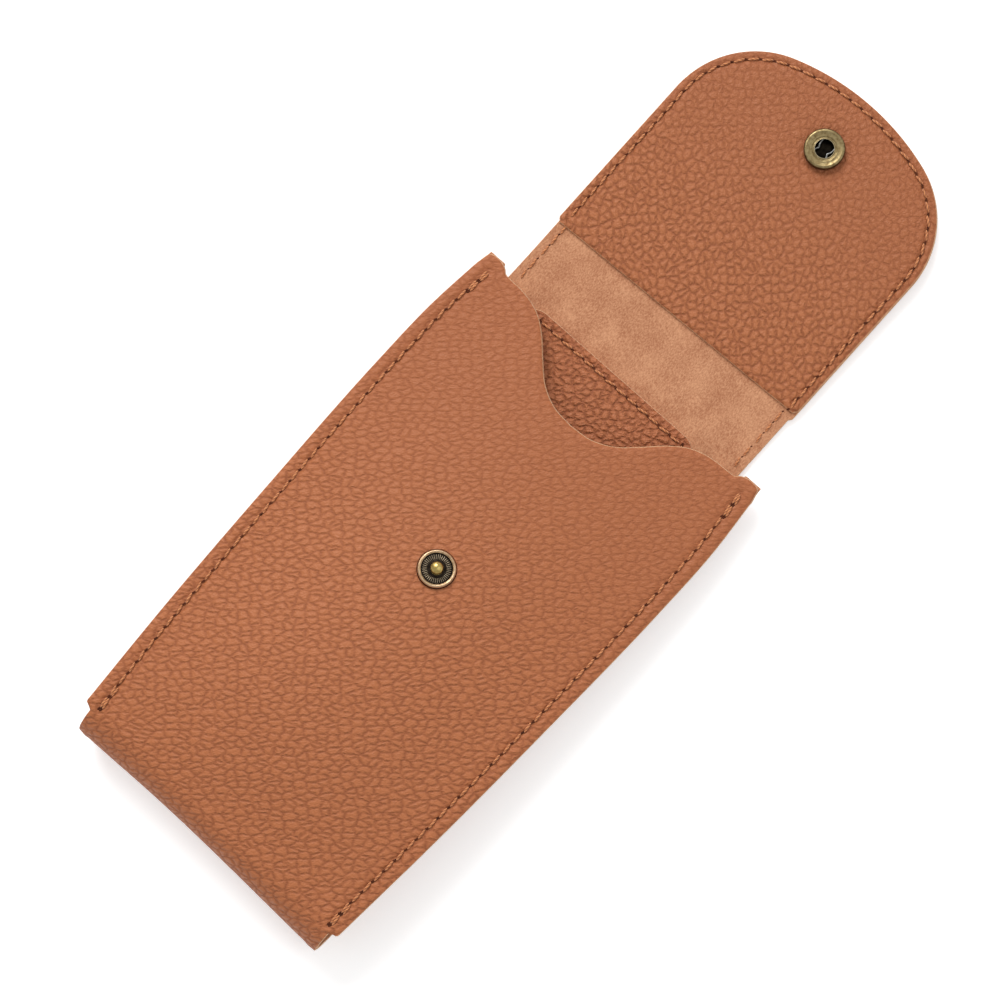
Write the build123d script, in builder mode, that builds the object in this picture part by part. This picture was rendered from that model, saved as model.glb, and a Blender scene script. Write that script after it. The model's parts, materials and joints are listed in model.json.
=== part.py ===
"""Watch travel case: a flat gusseted leather pouch with a snap flap and a slide-in card.

Millimetres, +Z up. X runs across the pouch, +Y towards the flap. The pouch lies on its back with
the flap laid open in line with it, and the back face is z = 0, centred on the origin.
"""

import os
from math import asin, atan2, cos, degrees, hypot, radians, sin

from build123d import *

os.makedirs("parts", exist_ok=True)

# ---- driving dimensions ----
SHELL_T = 1.3  # pouch leather
GUSSET_T = 1.0  # gusset leather
LINING_T = 1.1  # flap lining leather
MOUTH_Y = 79.5  # first fold line, where the back runs out of the pouch
BOTTOM_Y = -77.3  # outermost point of the round bottom fold
MOUTH_Z = 7.6  # height of the front's side edges at the mouth
FOLD_R = 8.5  # outer radius of the bottom fold
FOLD_Z = 2 * FOLD_R  # height of the front's side edges where the bottom fold starts
FOLD_Y = BOTTOM_Y + FOLD_R  # where the bottom fold starts
FOLD_HALF = 40.0  # half width of the bottom fold
SEAM_END_Y = -70.6  # the sewn flanges stop here
EAR_Y = 78.2  # top edge of the front, beside the scoop
EAR_TOP = 80.0  # top of its two corners, which stand out past the strip's sides
SCOOP_Y = 60.4  # lowest point of the scoop in the front's top edge
STRIP_W = 77.0  # width of back, fold strip and flap at the mouth
BRIDGE_LEN = 8.4  # between the two fold lines
FLAP_TIP = 92.6  # flap tip from the first fold line
LINING_START = 20.0  # lining's edge from the first fold line
SOCKET_AT = 76.2  # snap socket from the first fold line
FLAP_W = 78.4  # width of the lined part of the flap
FLAP_END_R = 68.0
FLAP_CORNER_R = 26.0
STITCH_PITCH = 3.6
STITCH_LEN = 2.8
THREAD_W = 0.8
FRONT_INSET = 3.6  # front and back seams, from the cut edge
EDGE_INSET = 2.3  # flap, strip and card stitching, from the cut edge
CARD_W = 56.5
CARD_LEN = 125.0
CARD_TOP_Y = 78.0
CARD_X = -1.0
CARD_LEATHER = 1.0
CARD_BOARD = 0.8
CARD_GAP = 0.25  # card to back panel
CAP_D = 12.5
CAP_H = 2.3
SOCKET_D = 10.4
SOCKET_H = 2.2
SOCKET_HOLE_D = 5.0
STUD_D = 9.6
STUD_RING_W = 0.85
STUD_RING_H = 0.9
STUD_BALL_D = 3.1
SNAP_GAP = 0.3  # between the closed snap's faces
HINGE_GAP = 0.1

# Half widths of the front and the back, from the mouth to the seam end.
FRONT_HALF = [(EAR_Y, 45.6), (60, 47.1), (40, 47.2), (0, 46.0), (-40, 44.2), (SEAM_END_Y, 42.1)]
BACK_HALF = [(MOUTH_Y, 38.5), (60, 38.6), (0, 39.5), (-40, 40.2), (SEAM_END_Y, 40.7)]
# Crown of the front panel on its centre line.
CROWN = [(80, 0.8), (60, 1.6), (45, 2.2), (28, 3.1), (10, 4.1), (-8, 5.0), (-25, 5.4)]
CROWN += [(-40, 4.8), (-52, 3.3), (-61, 1.6), (FOLD_Y, 0.0)]
CROWN_HALF = 48.0


def table(rows, y):
    """Straight-line reading of a table of (y, value), sorted from the mouth down."""
    for (y0, v0), (y1, v1) in zip(rows, rows[1:]):
        if y >= y1:
            return v0 + (v1 - v0) * (y0 - y) / (y0 - y1)
    return rows[-1][1]


SLOPE = (FOLD_Z - MOUTH_Z) / (MOUTH_Y - FOLD_Y)


def front_z(x, y):
    """Height of the front panel's outer face."""
    edge = MOUTH_Z + SLOPE * (MOUTH_Y - y)
    return edge + table(CROWN, y) * (1 - (x / CROWN_HALF) ** 2) ** 2


# ---- snap and fold geometry: the flap closes on the stud ----
SOCKET_S = SOCKET_AT - BRIDGE_LEN  # along the flap, from the second fold line
SNAP_STACK = STUD_RING_H + SNAP_GAP + SOCKET_H  # front's face to lining's face, at the snap


def stud_point(angle):
    """Where the closed socket's axis meets the front's face plane, for a flap closed at angle."""
    depth = SHELL_T / 2 + LINING_T + SNAP_STACK
    y = MOUTH_Y - SOCKET_S * cos(angle) - depth * sin(angle)
    z = SHELL_T / 2 + BRIDGE_LEN + SOCKET_S * sin(angle) - depth * cos(angle)
    return y, z


low, high = 0.0, 0.5
for _ in range(60):
    middle = (low + high) / 2
    y_try, z_try = stud_point(middle)
    if z_try < front_z(0, y_try):
        low = middle
    else:
        high = middle
CLOSED = (low + high) / 2  # slope of the closed flap
STUD_Y, STUD_Z = stud_point(CLOSED)
REST = asin(CAP_H / SOCKET_S)  # slope of the open flap, which its cap lifts off the table
FRONT_FOLD_MAX = 90 - degrees(CLOSED) - degrees(REST)

HINGE_1 = (0, MOUTH_Y, SHELL_T / 2)
HINGE_2 = (0, MOUTH_Y + BRIDGE_LEN, SHELL_T / 2)
# The flap's own plane: origin on the second fold line, at the middle of the skin.
FLAP = Plane(origin=HINGE_2, x_dir=(1, 0, 0), z_dir=(0, -sin(REST), cos(REST)))
# The front's edge plane, in which the side seams lie.
FRONT = Plane(origin=(0, MOUTH_Y, MOUTH_Z), x_dir=(1, 0, 0), z_dir=(0, SLOPE, 1))
STUD = Plane(origin=(0, STUD_Y, STUD_Z), x_dir=(1, 0, 0), z_dir=(0, sin(CLOSED), cos(CLOSED)))


def stitches(wire, pitch=STITCH_PITCH, closed=False):
    """Places along a wire, one for each stitch, turned to its direction."""
    count = max(2, round(wire.length / pitch))
    steps = count if closed else count - 1
    places = []
    for i in range(count):
        u = (i + 0.5) / count if not closed else i / steps
        p = wire.position_at(u)
        t = wire.tangent_at(u)
        places.append(Location((p.X, p.Y, 0), (0, 0, degrees(atan2(t.Y, t.X)))))
    return places


def profile(x):
    """Points of the front's outer face in the section at x, from the mouth to the bottom fold."""
    ys = [80.0, 60.0, 45.0, 28.0, 10.0, -8.0, -25.0, -40.0, -52.0, -61.0, FOLD_Y]
    return [(y, front_z(x, y)) for y in ys]


# ---- outer shell: front, bottom fold and back, cut from one piece ----
with BuildPart() as outer_shell:
    for x in (-48, -36, -24, -12, 0, 12, 24, 36, 48):
        outer = profile(x)
        inner = [(y, z - SHELL_T) for y, z in outer]
        section = Plane(origin=(x, 0, 0), x_dir=(0, 1, 0), z_dir=(1, 0, 0))
        with BuildSketch(section):
            with BuildLine():
                Spline(*outer)
                Line(outer[-1], inner[-1])
                Spline(*inner[::-1])
                Line(inner[0], outer[0])
            make_face()
    loft()
    # the round bottom fold
    with BuildSketch(Plane.YZ.offset(-48)):
        with Locations((FOLD_Y, FOLD_R)):
            Circle(FOLD_R)
            Circle(FOLD_R - SHELL_T, mode=Mode.SUBTRACT)
        with Locations((FOLD_Y, FOLD_R)):
            Rectangle(20, 40, align=(Align.MIN, Align.CENTER), mode=Mode.SUBTRACT)
    extrude(amount=96)
    # the front's outline, with the scoop in its top edge
    with BuildSketch(Plane.XY.offset(4)):
        Rectangle(120, 200)
        with BuildSketch(mode=Mode.SUBTRACT):
            with BuildLine():
                side = [(table(FRONT_HALF, y), y) for y in (75.2, 60, 40, 20, 0, -20, -40, -55, -67)]
                Line((0, SCOOP_Y), (0, -90))
                Line((0, -90), (FOLD_HALF, -90))
                Line((FOLD_HALF, -90), (FOLD_HALF, SEAM_END_Y))
                Spline((FOLD_HALF, SEAM_END_Y), (41.6, -69.8), side[-1], tangents=((1, 0), (0.05, 1)))
                Spline(*side[::-1], tangents=((0.05, 1), (-0.08, 1)))
                ear = [(45.5, 78.6), (44.9, 79.6), (43.8, EAR_TOP)]
                Spline(side[0], *ear, tangents=((-0.08, 1), (-1, 0)))
                Line(ear[-1], (41.0, EAR_TOP - 0.1))
                Spline((41.0, EAR_TOP - 0.1), (39.4, EAR_TOP - 0.8), (37.0, EAR_Y), (33, 77.9), tangents=((-1, -0.06), (-1, -0.1)))
                bell = [(33, 77.9), (29.5, 77.4), (25, 75.7), (20.8, 72.6), (16.2, 68.1), (12, 64.2)]
                Spline(*bell, (6.5, 61.3), (0, SCOOP_Y), tangents=((-1, -0.03), (-1, 0)))
            make_face()
            mirror(about=Plane.YZ)
    extrude(amount=40, mode=Mode.SUBTRACT)
    # the back panel, ending in a rounded edge on the first fold line
    with BuildSketch(Plane.YZ.offset(-46)):
        with BuildLine():
            Line((FOLD_Y, 0), (MOUTH_Y, 0))
            ThreePointArc((MOUTH_Y, 0), (MOUTH_Y + SHELL_T / 2, SHELL_T / 2), (MOUTH_Y, SHELL_T))
            Line((MOUTH_Y, SHELL_T), (FOLD_Y, SHELL_T))
            Line((FOLD_Y, SHELL_T), (FOLD_Y, 0))
        make_face()
    extrude(amount=92)
    with BuildSketch(Plane.XY.offset(-1)):
        Rectangle(120, 200)
        with BuildSketch(mode=Mode.SUBTRACT):
            with BuildLine():
                side = [(table(BACK_HALF, y), y) for y in (MOUTH_Y, 60, 30, 0, -40, -68.5)]
                Line((0, 90), (0, -90))
                Line((0, -90), (FOLD_HALF, -90))
                Line((FOLD_HALF, -90), (FOLD_HALF, SEAM_END_Y))
                Line((FOLD_HALF, SEAM_END_Y), side[-1])
                Spline(*side[::-1])
                Line(side[0], (38.5, 90))
                Line((38.5, 90), (0, 90))
            make_face()
            mirror(about=Plane.YZ)
    extrude(amount=5.5, mode=Mode.SUBTRACT)
    # hole for the stud's post
    with BuildSketch(STUD.offset(-6)):
        Circle(1.6)
    extrude(amount=12, mode=Mode.SUBTRACT)
outer_shell.part.label = "outer_shell"
export_step(outer_shell.part, "parts/outer_shell.step")


def gusset_outline(y):
    """Section of a right-hand gusset at y: two sewn flanges and a fold that points inwards."""
    top = min(MOUTH_Z + SLOPE * (MOUTH_Y - y), FOLD_Z - 0.15) - SHELL_T - 0.15 - GUSSET_T / 2
    base = SHELL_T + 0.05 + GUSSET_T / 2
    front = table(FRONT_HALF, y) - 0.3
    back = table(BACK_HALF, y) - 0.3
    apex = 31.6 - 1.4 * (MOUTH_Y - y) / 149
    line = [(front, top), (front - 7.0, top), (apex, (top + base) / 2), (back - 5.2, base), (back, base)]
    left, right = [], []
    for i, (x, z) in enumerate(line):
        x0, z0 = line[max(i - 1, 0)]
        x1, z1 = line[min(i + 1, len(line) - 1)]
        ends = [(x - x0, z - z0), (x1 - x, z1 - z)]
        units = [(dx / hypot(dx, dz), dz / hypot(dx, dz)) for dx, dz in ends if hypot(dx, dz) > 0]
        ux = sum(u[0] for u in units) / len(units)
        uz = sum(u[1] for u in units) / len(units)
        size = hypot(ux, uz)
        nx, nz = -uz / size, ux / size
        reach = GUSSET_T / 2 / size
        left.append((x + nx * reach, z + nz * reach))
        right.append((x - nx * reach, z - nz * reach))
    return left + right[::-1]


# ---- right gusset, and the left one as its mirror image ----
with BuildPart() as right_gusset:
    for y in (EAR_Y - 0.2, 50.0, 20.0, -10.0, -40.0, -58.0, SEAM_END_Y + 0.3):
        with BuildSketch(Plane(origin=(0, y, 0), x_dir=(1, 0, 0), z_dir=(0, -1, 0))):
            with BuildLine():
                Polyline(*gusset_outline(y), close=True)
            make_face()
    loft(ruled=True)
right_gusset.part.label = "right_gusset"
export_step(right_gusset.part, "parts/right_gusset.step")

with BuildPart() as left_gusset:
    mirror(right_gusset.part, about=Plane.YZ)
left_gusset.part.label = "left_gusset"
export_step(left_gusset.part, "parts/left_gusset.step")


# ---- side seams ----
def seam_wire(rows, inset, top, low, side):
    """A side seam's line, at one side of the pouch; the front's is counted from the mouth."""
    shift = MOUTH_Y if top < 0 else 0.0
    points = []
    for i in range(9):
        y = top + (low - top) * i / 8
        points.append((side * (table(rows, y + shift) - inset), y))
    return Wire([Spline(*points, mode=Mode.PRIVATE).edge()])


def front_seam(side):
    """Stitches through the front and the gusset, in the front's edge plane."""
    line = seam_wire(FRONT_HALF, FRONT_INSET, EAR_Y - 2 - MOUTH_Y, SEAM_END_Y + 1.5 - MOUTH_Y, side)
    with BuildPart() as seam:
        with BuildSketch(FRONT.offset(0.42)):
            with Locations(*stitches(line)):
                SlotOverall(STITCH_LEN, THREAD_W)
        extrude(amount=-(SHELL_T + GUSSET_T + 0.65))
    return seam.part


def back_seam(side):
    """Stitches through the back and the gusset, flush with the back's face."""
    line = seam_wire(BACK_HALF, FRONT_INSET - 1.2, EAR_Y - 2, SEAM_END_Y + 1.5, side)
    with BuildPart() as seam:
        with BuildSketch(Plane.XY.offset(0.02)):
            with Locations(*stitches(line)):
                SlotOverall(STITCH_LEN, THREAD_W)
        extrude(amount=SHELL_T + GUSSET_T + 0.2)
    return seam.part


for name, make, side in (
    ("front_seam_left", front_seam, -1),
    ("front_seam_right", front_seam, 1),
    ("back_seam_left", back_seam, -1),
    ("back_seam_right", back_seam, 1),
):
    seam_part = make(side)
    seam_part.label = name
    export_step(seam_part, "parts/" + name + ".step")

# ---- stud on the front: collar, ribbed disc, ball post and the washer behind ----
with BuildPart() as stud_collar:
    with BuildSketch(Plane(STUD.origin, x_dir=STUD.x_dir, z_dir=-STUD.y_dir)):
        with BuildLine():
            r = STUD_D / 2
            Line((r - 2.2, 0.05), (r, 0.05))
            Line((r, 0.05), (r, 0.55))
            ThreePointArc((r, 0.55), (r - STUD_RING_W / 2, STUD_RING_H), (r - STUD_RING_W, 0.6))
            Line((r - STUD_RING_W, 0.6), (r - STUD_RING_W, 0.25))
            Line((r - STUD_RING_W, 0.25), (r - 2.2, 0.25))
            Line((r - 2.2, 0.25), (r - 2.2, 0.05))
        make_face()
    revolve(axis=Axis(STUD.origin, STUD.z_dir))
stud_collar.part.label = "stud_collar"
export_step(stud_collar.part, "parts/stud_collar.step")

with BuildPart() as stud_disc:
    with BuildSketch(STUD.offset(0.27)):
        Circle(STUD_D / 2 - STUD_RING_W - 0.05)
        Circle(1.0, mode=Mode.SUBTRACT)
    extrude(amount=0.15)
    with BuildSketch(STUD.offset(0.42)):
        with PolarLocations(2.65, 24):
            Rectangle(1.9, 0.28)
    extrude(amount=0.13)
stud_disc.part.label = "stud_disc"
export_step(stud_disc.part, "parts/stud_disc.step")

with BuildPart() as stud_ball:
    with BuildSketch(Plane(STUD.origin, x_dir=STUD.x_dir, z_dir=-STUD.y_dir)):
        with BuildLine():
            ball = STUD_BALL_D / 2
            top = STUD_RING_H + SNAP_GAP + 1.3
            Line((0, -SHELL_T - 1.3), (0, top))
            ThreePointArc((0, top), (ball * 0.75, top - 0.45), (ball, top - 1.25))
            ThreePointArc((ball, top - 1.25), (ball * 0.97, top - 1.6), (1.25, top - 1.9))
            Line((1.25, top - 1.9), (1.25, 0.56))
            Line((1.25, 0.56), (0.95, 0.56))
            Line((0.95, 0.56), (0.95, -SHELL_T - 1.0))
            Line((0.95, -SHELL_T - 1.0), (1.7, -SHELL_T - 1.0))
            Line((1.7, -SHELL_T - 1.0), (1.7, -SHELL_T - 1.3))
            Line((1.7, -SHELL_T - 1.3), (0, -SHELL_T - 1.3))
        make_face()
    revolve(axis=Axis(STUD.origin, STUD.z_dir))
stud_ball.part.label = "stud_ball"
export_step(stud_ball.part, "parts/stud_ball.step")

with BuildPart() as stud_washer:
    with BuildSketch(STUD.offset(-SHELL_T - 0.98)):
        Circle(4.4)
        Circle(1.0, mode=Mode.SUBTRACT)
    extrude(amount=0.6)
    chamfer(stud_washer.edges().filter_by(GeomType.CIRCLE).sort_by(SortBy.RADIUS)[-2:], 0.15)
stud_washer.part.label = "stud_washer"
export_step(stud_washer.part, "parts/stud_washer.step")

# ---- fold strip between the two fold lines ----
START = SHELL_T / 2 + HINGE_GAP
with BuildPart() as fold_strip:
    with BuildSketch(Plane.YZ.offset(-STRIP_W / 2)):
        with BuildLine():
            end = MOUTH_Y + BRIDGE_LEN
            Line((MOUTH_Y + START, 0), (end, 0))
            ThreePointArc((end, 0), (end + SHELL_T / 2, SHELL_T / 2), (end, SHELL_T))
            Line((end, SHELL_T), (MOUTH_Y + START, SHELL_T))
            Line((MOUTH_Y + START, SHELL_T), (MOUTH_Y + START, 0))
        make_face()
    extrude(amount=STRIP_W)
fold_strip.part.label = "fold_strip"
export_step(fold_strip.part, "parts/fold_strip.step")

with BuildPart() as strip_stitches:
    with BuildSketch(Plane.XY.offset(0.02)):
        for side in (-1, 1):
            x = side * (STRIP_W / 2 - EDGE_INSET)
            with Locations(*[(x, MOUTH_Y + 2.7 + 3.4 * i) for i in range(2)]):
                SlotOverall(STITCH_LEN, THREAD_W, rotation=90)
    extrude(amount=SHELL_T + 0.1)
strip_stitches.part.label = "strip_stitches"
export_step(strip_stitches.part, "parts/strip_stitches.step")


# ---- flap: skin, lining, seam ----
def flap_outline(inset, start):
    """Outline of the flap, in its own plane, drawn in by inset; it widens where the lining starts."""
    tip, neck = FLAP_TIP - BRIDGE_LEN, LINING_START - BRIDGE_LEN
    wide, narrow = FLAP_W / 2 - inset, STRIP_W / 2 - inset
    side = [(wide, start)] if start >= neck else [(narrow, start), (narrow, neck - 0.8), (wide, neck)]
    with BuildSketch(Plane.XY, mode=Mode.PRIVATE) as outline:
        with BuildLine():
            right = side + [(wide, 2 * tip)]
            Polyline(*right, *[(-x, y) for x, y in right[::-1]], close=True)
        make_face()
        with Locations((0, tip - FLAP_END_R)):
            Circle(FLAP_END_R - inset, mode=Mode.INTERSECT)
        corners = outline.vertices().sort_by(Axis.Y)[-2:]
        fillet(corners, radius=FLAP_CORNER_R - inset)
    return outline.sketch


with BuildPart() as flap_skin:
    with BuildSketch(FLAP.offset(-SHELL_T / 2)):
        add(flap_outline(0, START))
    extrude(amount=SHELL_T)
    with BuildSketch(FLAP.offset(-SHELL_T / 2)):
        with Locations((0, SOCKET_S)):
            Circle(1.7)
    extrude(amount=SHELL_T, mode=Mode.SUBTRACT)
flap_skin.part.label = "flap_skin"
export_step(flap_skin.part, "parts/flap_skin.step")

with BuildPart() as flap_lining:
    with BuildSketch(FLAP.offset(SHELL_T / 2)):
        add(flap_outline(0.2, LINING_START - BRIDGE_LEN))
    extrude(amount=LINING_T)
    with BuildSketch(FLAP.offset(SHELL_T / 2)):
        with Locations((0, SOCKET_S)):
            Circle(1.7)
    extrude(amount=LINING_T, mode=Mode.SUBTRACT)
flap_lining.part.label = "flap_lining"
export_step(flap_lining.part, "parts/flap_lining.step")

seam_sketch = flap_outline(EDGE_INSET, LINING_START - BRIDGE_LEN + 1.2)
seam_edges = seam_sketch.edges().sort_by(Axis.Y)[1:]
with BuildPart() as flap_seam:
    with BuildSketch(FLAP.offset(-SHELL_T / 2 + 0.02)):
        with Locations(*stitches(Wire(seam_edges))):
            SlotOverall(STITCH_LEN, THREAD_W)
    extrude(amount=SHELL_T + LINING_T + 0.13)
    # the row runs on over the bare strip below the lining
    with BuildSketch(FLAP.offset(-SHELL_T / 2 + 0.02)):
        for side in (-1, 1):
            x = side * (STRIP_W / 2 - EDGE_INSET)
            with Locations((x, 3.0), (x, 6.6), (x, 10.2)):
                SlotOverall(STITCH_LEN, THREAD_W, rotation=90)
    extrude(amount=SHELL_T + 0.1)
flap_seam.part.label = "flap_seam"
export_step(flap_seam.part, "parts/flap_seam.step")

# ---- snap on the flap: domed cap outside, socket with two wire springs inside ----
SOCKET_AXIS = Axis(FLAP.from_local_coords((0, SOCKET_S, 0)), FLAP.z_dir)
SOCKET_SIDE = Plane(SOCKET_AXIS.position, x_dir=(1, 0, 0), z_dir=-FLAP.y_dir)
LINING_FACE = SHELL_T / 2 + LINING_T
with BuildPart() as snap_cap:
    with BuildSketch(SOCKET_SIDE):
        with BuildLine():
            r = CAP_D / 2
            under = -SHELL_T / 2 - 0.02
            dome = (r * r + (CAP_H - 0.45) ** 2) / (2 * (CAP_H - 0.45))
            half = asin(r / dome) / 2
            Line((0, under - CAP_H), (0, LINING_FACE + 0.75))
            Line((0, LINING_FACE + 0.75), (2.1, LINING_FACE + 0.75))
            Line((2.1, LINING_FACE + 0.75), (2.1, LINING_FACE + 0.45))
            Line((2.1, LINING_FACE + 0.45), (1.5, LINING_FACE + 0.45))
            Line((1.5, LINING_FACE + 0.45), (1.5, under))
            Line((1.5, under), (r - 0.3, under))
            Line((r - 0.3, under), (r, under - 0.45))
            crest = (dome * sin(half), under - CAP_H + dome * (1 - cos(half)))
            ThreePointArc((r, under - 0.45), crest, (0, under - CAP_H))
        make_face()
    revolve(axis=SOCKET_AXIS)
snap_cap.part.label = "snap_cap"
export_step(snap_cap.part, "parts/snap_cap.step")

with BuildPart() as snap_socket:
    with BuildSketch(SOCKET_SIDE):
        with BuildLine():
            r = SOCKET_D / 2
            hole = SOCKET_HOLE_D / 2
            base = LINING_FACE + 0.02
            top = LINING_FACE + SOCKET_H
            Line((1.55, base), (r - 0.25, base))
            Line((r - 0.25, base), (r, base + 0.3))
            Line((r, base + 0.3), (r, top - 0.55))
            ThreePointArc((r, top - 0.55), (r - 0.45, top - 0.1), (r - 1.0, top - 0.3))
            Line((r - 1.0, top - 0.3), (hole + 0.75, top - 0.3))
            ThreePointArc((hole + 0.75, top - 0.3), (hole + 0.35, top), (hole, top - 0.35))
            Line((hole, top - 0.35), (hole, top - 0.7))
            Line((hole, top - 0.7), (hole + 1.3, top - 0.7))
            Line((hole + 1.3, top - 0.7), (hole + 1.3, base + 0.4))
            Line((hole + 1.3, base + 0.4), (1.55, base + 0.4))
            Line((1.55, base + 0.4), (1.55, base))
        make_face()
    revolve(axis=SOCKET_AXIS)
snap_socket.part.label = "snap_socket"
export_step(snap_socket.part, "parts/snap_socket.step")

WIRE_H = LINING_FACE + SOCKET_H - 1.05
with BuildPart() as socket_springs:
    for side in (-1, 1):
        spring_plane = Plane(
            FLAP.from_local_coords((0, SOCKET_S, WIRE_H)), x_dir=(1, 0, 0), z_dir=FLAP.z_dir
        )
        with BuildLine(spring_plane) as spring_path:
            Line((side * 1.95, -2.2), (side * 1.95, 1.5))
            ThreePointArc((side * 1.95, 1.5), (side * 2.5, 2.05), (side * 3.05, 1.5))
            Line((side * 3.05, 1.5), (side * 3.05, 0.4))
        spring_start = Plane(
            spring_path.wire().position_at(0), x_dir=(1, 0, 0), z_dir=FLAP.y_dir
        )
        with BuildSketch(spring_start):
            Circle(0.24)
        sweep(path=spring_path.wire())
socket_springs.part.label = "socket_springs"
export_step(socket_springs.part, "parts/socket_springs.step")

# ---- slide-in card: board between two leather faces, sewn all round ----
CARD_Z = SHELL_T + CARD_GAP


def card_layer(z, thickness, inset, radius):
    """One layer of the card."""
    with BuildPart() as layer:
        with BuildSketch(Plane.XY.offset(z)):
            with Locations((CARD_X, CARD_TOP_Y - CARD_LEN / 2)):
                RectangleRounded(CARD_W - 2 * inset, CARD_LEN - 2 * inset, radius)
        extrude(amount=thickness)
    return layer.part


for name, z, thickness, inset in (
    ("insert_back", CARD_Z, CARD_LEATHER, 0.0),
    ("insert_board", CARD_Z + CARD_LEATHER + 0.02, CARD_BOARD, 3.6),
    ("insert_face", CARD_Z + CARD_LEATHER + CARD_BOARD + 0.04, CARD_LEATHER, 0.0),
):
    layer_part = card_layer(z, thickness, inset, 5.0 - inset / 2)
    layer_part.label = name
    export_step(layer_part, "parts/" + name + ".step")

CARD_TOP_Z = CARD_Z + 2 * CARD_LEATHER + CARD_BOARD + 0.04
with BuildSketch(Plane.XY, mode=Mode.PRIVATE) as card_line:
    with Locations((CARD_X, CARD_TOP_Y - CARD_LEN / 2)):
        RectangleRounded(CARD_W - 2 * EDGE_INSET, CARD_LEN - 2 * EDGE_INSET, 3.0)
with BuildPart() as insert_seam:
    with BuildSketch(Plane.XY.offset(CARD_Z + 0.02)):
        with Locations(*stitches(card_line.sketch.faces()[0].outer_wire(), closed=True)):
            SlotOverall(STITCH_LEN, THREAD_W)
    extrude(amount=CARD_TOP_Z - CARD_Z + 0.12)
insert_seam.part.label = "insert_seam"
export_step(insert_seam.part, "parts/insert_seam.step")

print("closed slope", round(degrees(CLOSED), 2), "rest slope", round(degrees(REST), 2))
print("front fold limit", round(FRONT_FOLD_MAX, 2), "stud at", round(STUD_Y, 2), round(STUD_Z, 2))
print("hinges", HINGE_1, HINGE_2)
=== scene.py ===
# %% [markdown]
# # A leather watch travel case
#
# The case is a flat leather pouch, lying on its back with its flap laid open. One piece of
# pebbled leather makes the front, the round bottom fold, the back and the flap. Two gussets join
# front and back, a stitched card slides into the pouch, and a line snap closes the flap.
#
# The imported model is loaded first. It is the frame: every surface below is drawn over it, in
# the same coordinates, and most of them ride on one of its bodies.

# %% Load the frame
import json

import bmesh
import bpy
import numpy as np
from mathutils import Matrix, Vector

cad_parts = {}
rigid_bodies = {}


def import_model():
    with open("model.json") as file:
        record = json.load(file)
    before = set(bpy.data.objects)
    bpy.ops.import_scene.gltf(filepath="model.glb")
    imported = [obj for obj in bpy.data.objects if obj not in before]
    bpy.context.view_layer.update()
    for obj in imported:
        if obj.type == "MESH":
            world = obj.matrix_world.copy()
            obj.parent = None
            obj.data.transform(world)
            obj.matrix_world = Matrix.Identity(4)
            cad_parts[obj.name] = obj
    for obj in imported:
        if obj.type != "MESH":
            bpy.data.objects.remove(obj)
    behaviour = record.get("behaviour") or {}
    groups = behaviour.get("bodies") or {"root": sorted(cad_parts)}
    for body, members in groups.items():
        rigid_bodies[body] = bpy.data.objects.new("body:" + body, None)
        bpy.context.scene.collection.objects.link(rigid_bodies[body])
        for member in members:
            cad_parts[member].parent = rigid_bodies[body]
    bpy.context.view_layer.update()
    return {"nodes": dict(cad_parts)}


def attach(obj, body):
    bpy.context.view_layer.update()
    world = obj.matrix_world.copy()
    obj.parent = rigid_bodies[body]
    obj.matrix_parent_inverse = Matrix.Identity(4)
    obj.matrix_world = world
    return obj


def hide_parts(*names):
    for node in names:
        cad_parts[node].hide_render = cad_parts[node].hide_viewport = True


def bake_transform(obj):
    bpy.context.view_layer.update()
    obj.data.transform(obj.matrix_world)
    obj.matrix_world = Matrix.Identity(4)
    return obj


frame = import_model()

# %% [markdown]
# ## Sizes
#
# These are the case's own sizes in millimetres, as a leather worker would note them on the
# pattern. Meshes are worked out in millimetres and only turned into metres when they are made.

# %% Sizes of the case
SKIN, LINING = 1.3, 1.1  # thickness of the hide and of the flap's lining
MOUTH_Y, MOUTH_Z = 79.5, 7.6  # first fold line, and the front's height there
FOLD_R = 8.5  # the bottom fold, which ends at y -77.3
FOLD_Y = -77.3 + FOLD_R
FOLD_HALF = 40.0
SEAM_END_Y = -70.6  # side seams and gussets end here
BRIDGE = 8.4  # from the first fold line to the second
FLAP_LEN, LINING_AT, SOCKET_AT = 92.6 - BRIDGE, 20.0 - BRIDGE, 76.2 - BRIDGE  # from the second
HALF_STRIP, HALF_FLAP = 38.5, 39.2
TIP_R, CORNER_R = 68.0, 26.0  # arcs of the flap's end
CORNER_X = HALF_FLAP - CORNER_R
CORNER_S = FLAP_LEN - TIP_R + np.sqrt((TIP_R - CORNER_R) ** 2 - CORNER_X ** 2)
REST = np.arcsin(2.3 / SOCKET_AT)  # slope of the open flap
CLOSED = np.radians(10.11)  # slope of the front at the stud
STUD_AT = (11.85, 15.89)  # y and z of the stud's foot
FOLD_2 = np.array([0, MOUTH_Y + BRIDGE, SKIN / 2])
CARD_W, CARD_L = 56.5, 125.0
CARD_C = (-1.0, 78.0 - CARD_L / 2)
CARD_Z = SKIN + 0.25  # underside of the card
CARD_TOP = CARD_Z + 2.84
PITCH, STRIP_PITCH = 3.6, 3.5
SEAM_TOP = 3.3  # side seams start this far below the mouth
FRONT_INSET, BACK_INSET, FLAP_INSET = 3.6, 2.4, 2.3  # seams, from the cut edge
FRONT_HALF = np.array([[SEAM_END_Y, 42.1], [-40, 44.2], [0, 46.0], [40, 47.2], [60, 47.1],
                       [78.2, 45.6]])
BACK_HALF = np.array([[SEAM_END_Y, 40.7], [-40, 40.2], [0, 39.5], [60, 38.6], [79.5, 38.5]])
CROWN_HALF = 48
CROWN = np.array([[FOLD_Y, 0], [-61, 1.6], [-52, 3.3], [-40, 4.8], [-25, 5.4], [-8, 5.0],
                  [10, 4.1], [28, 3.1], [45, 2.2], [60, 1.6], [80, 0.8]])
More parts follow.
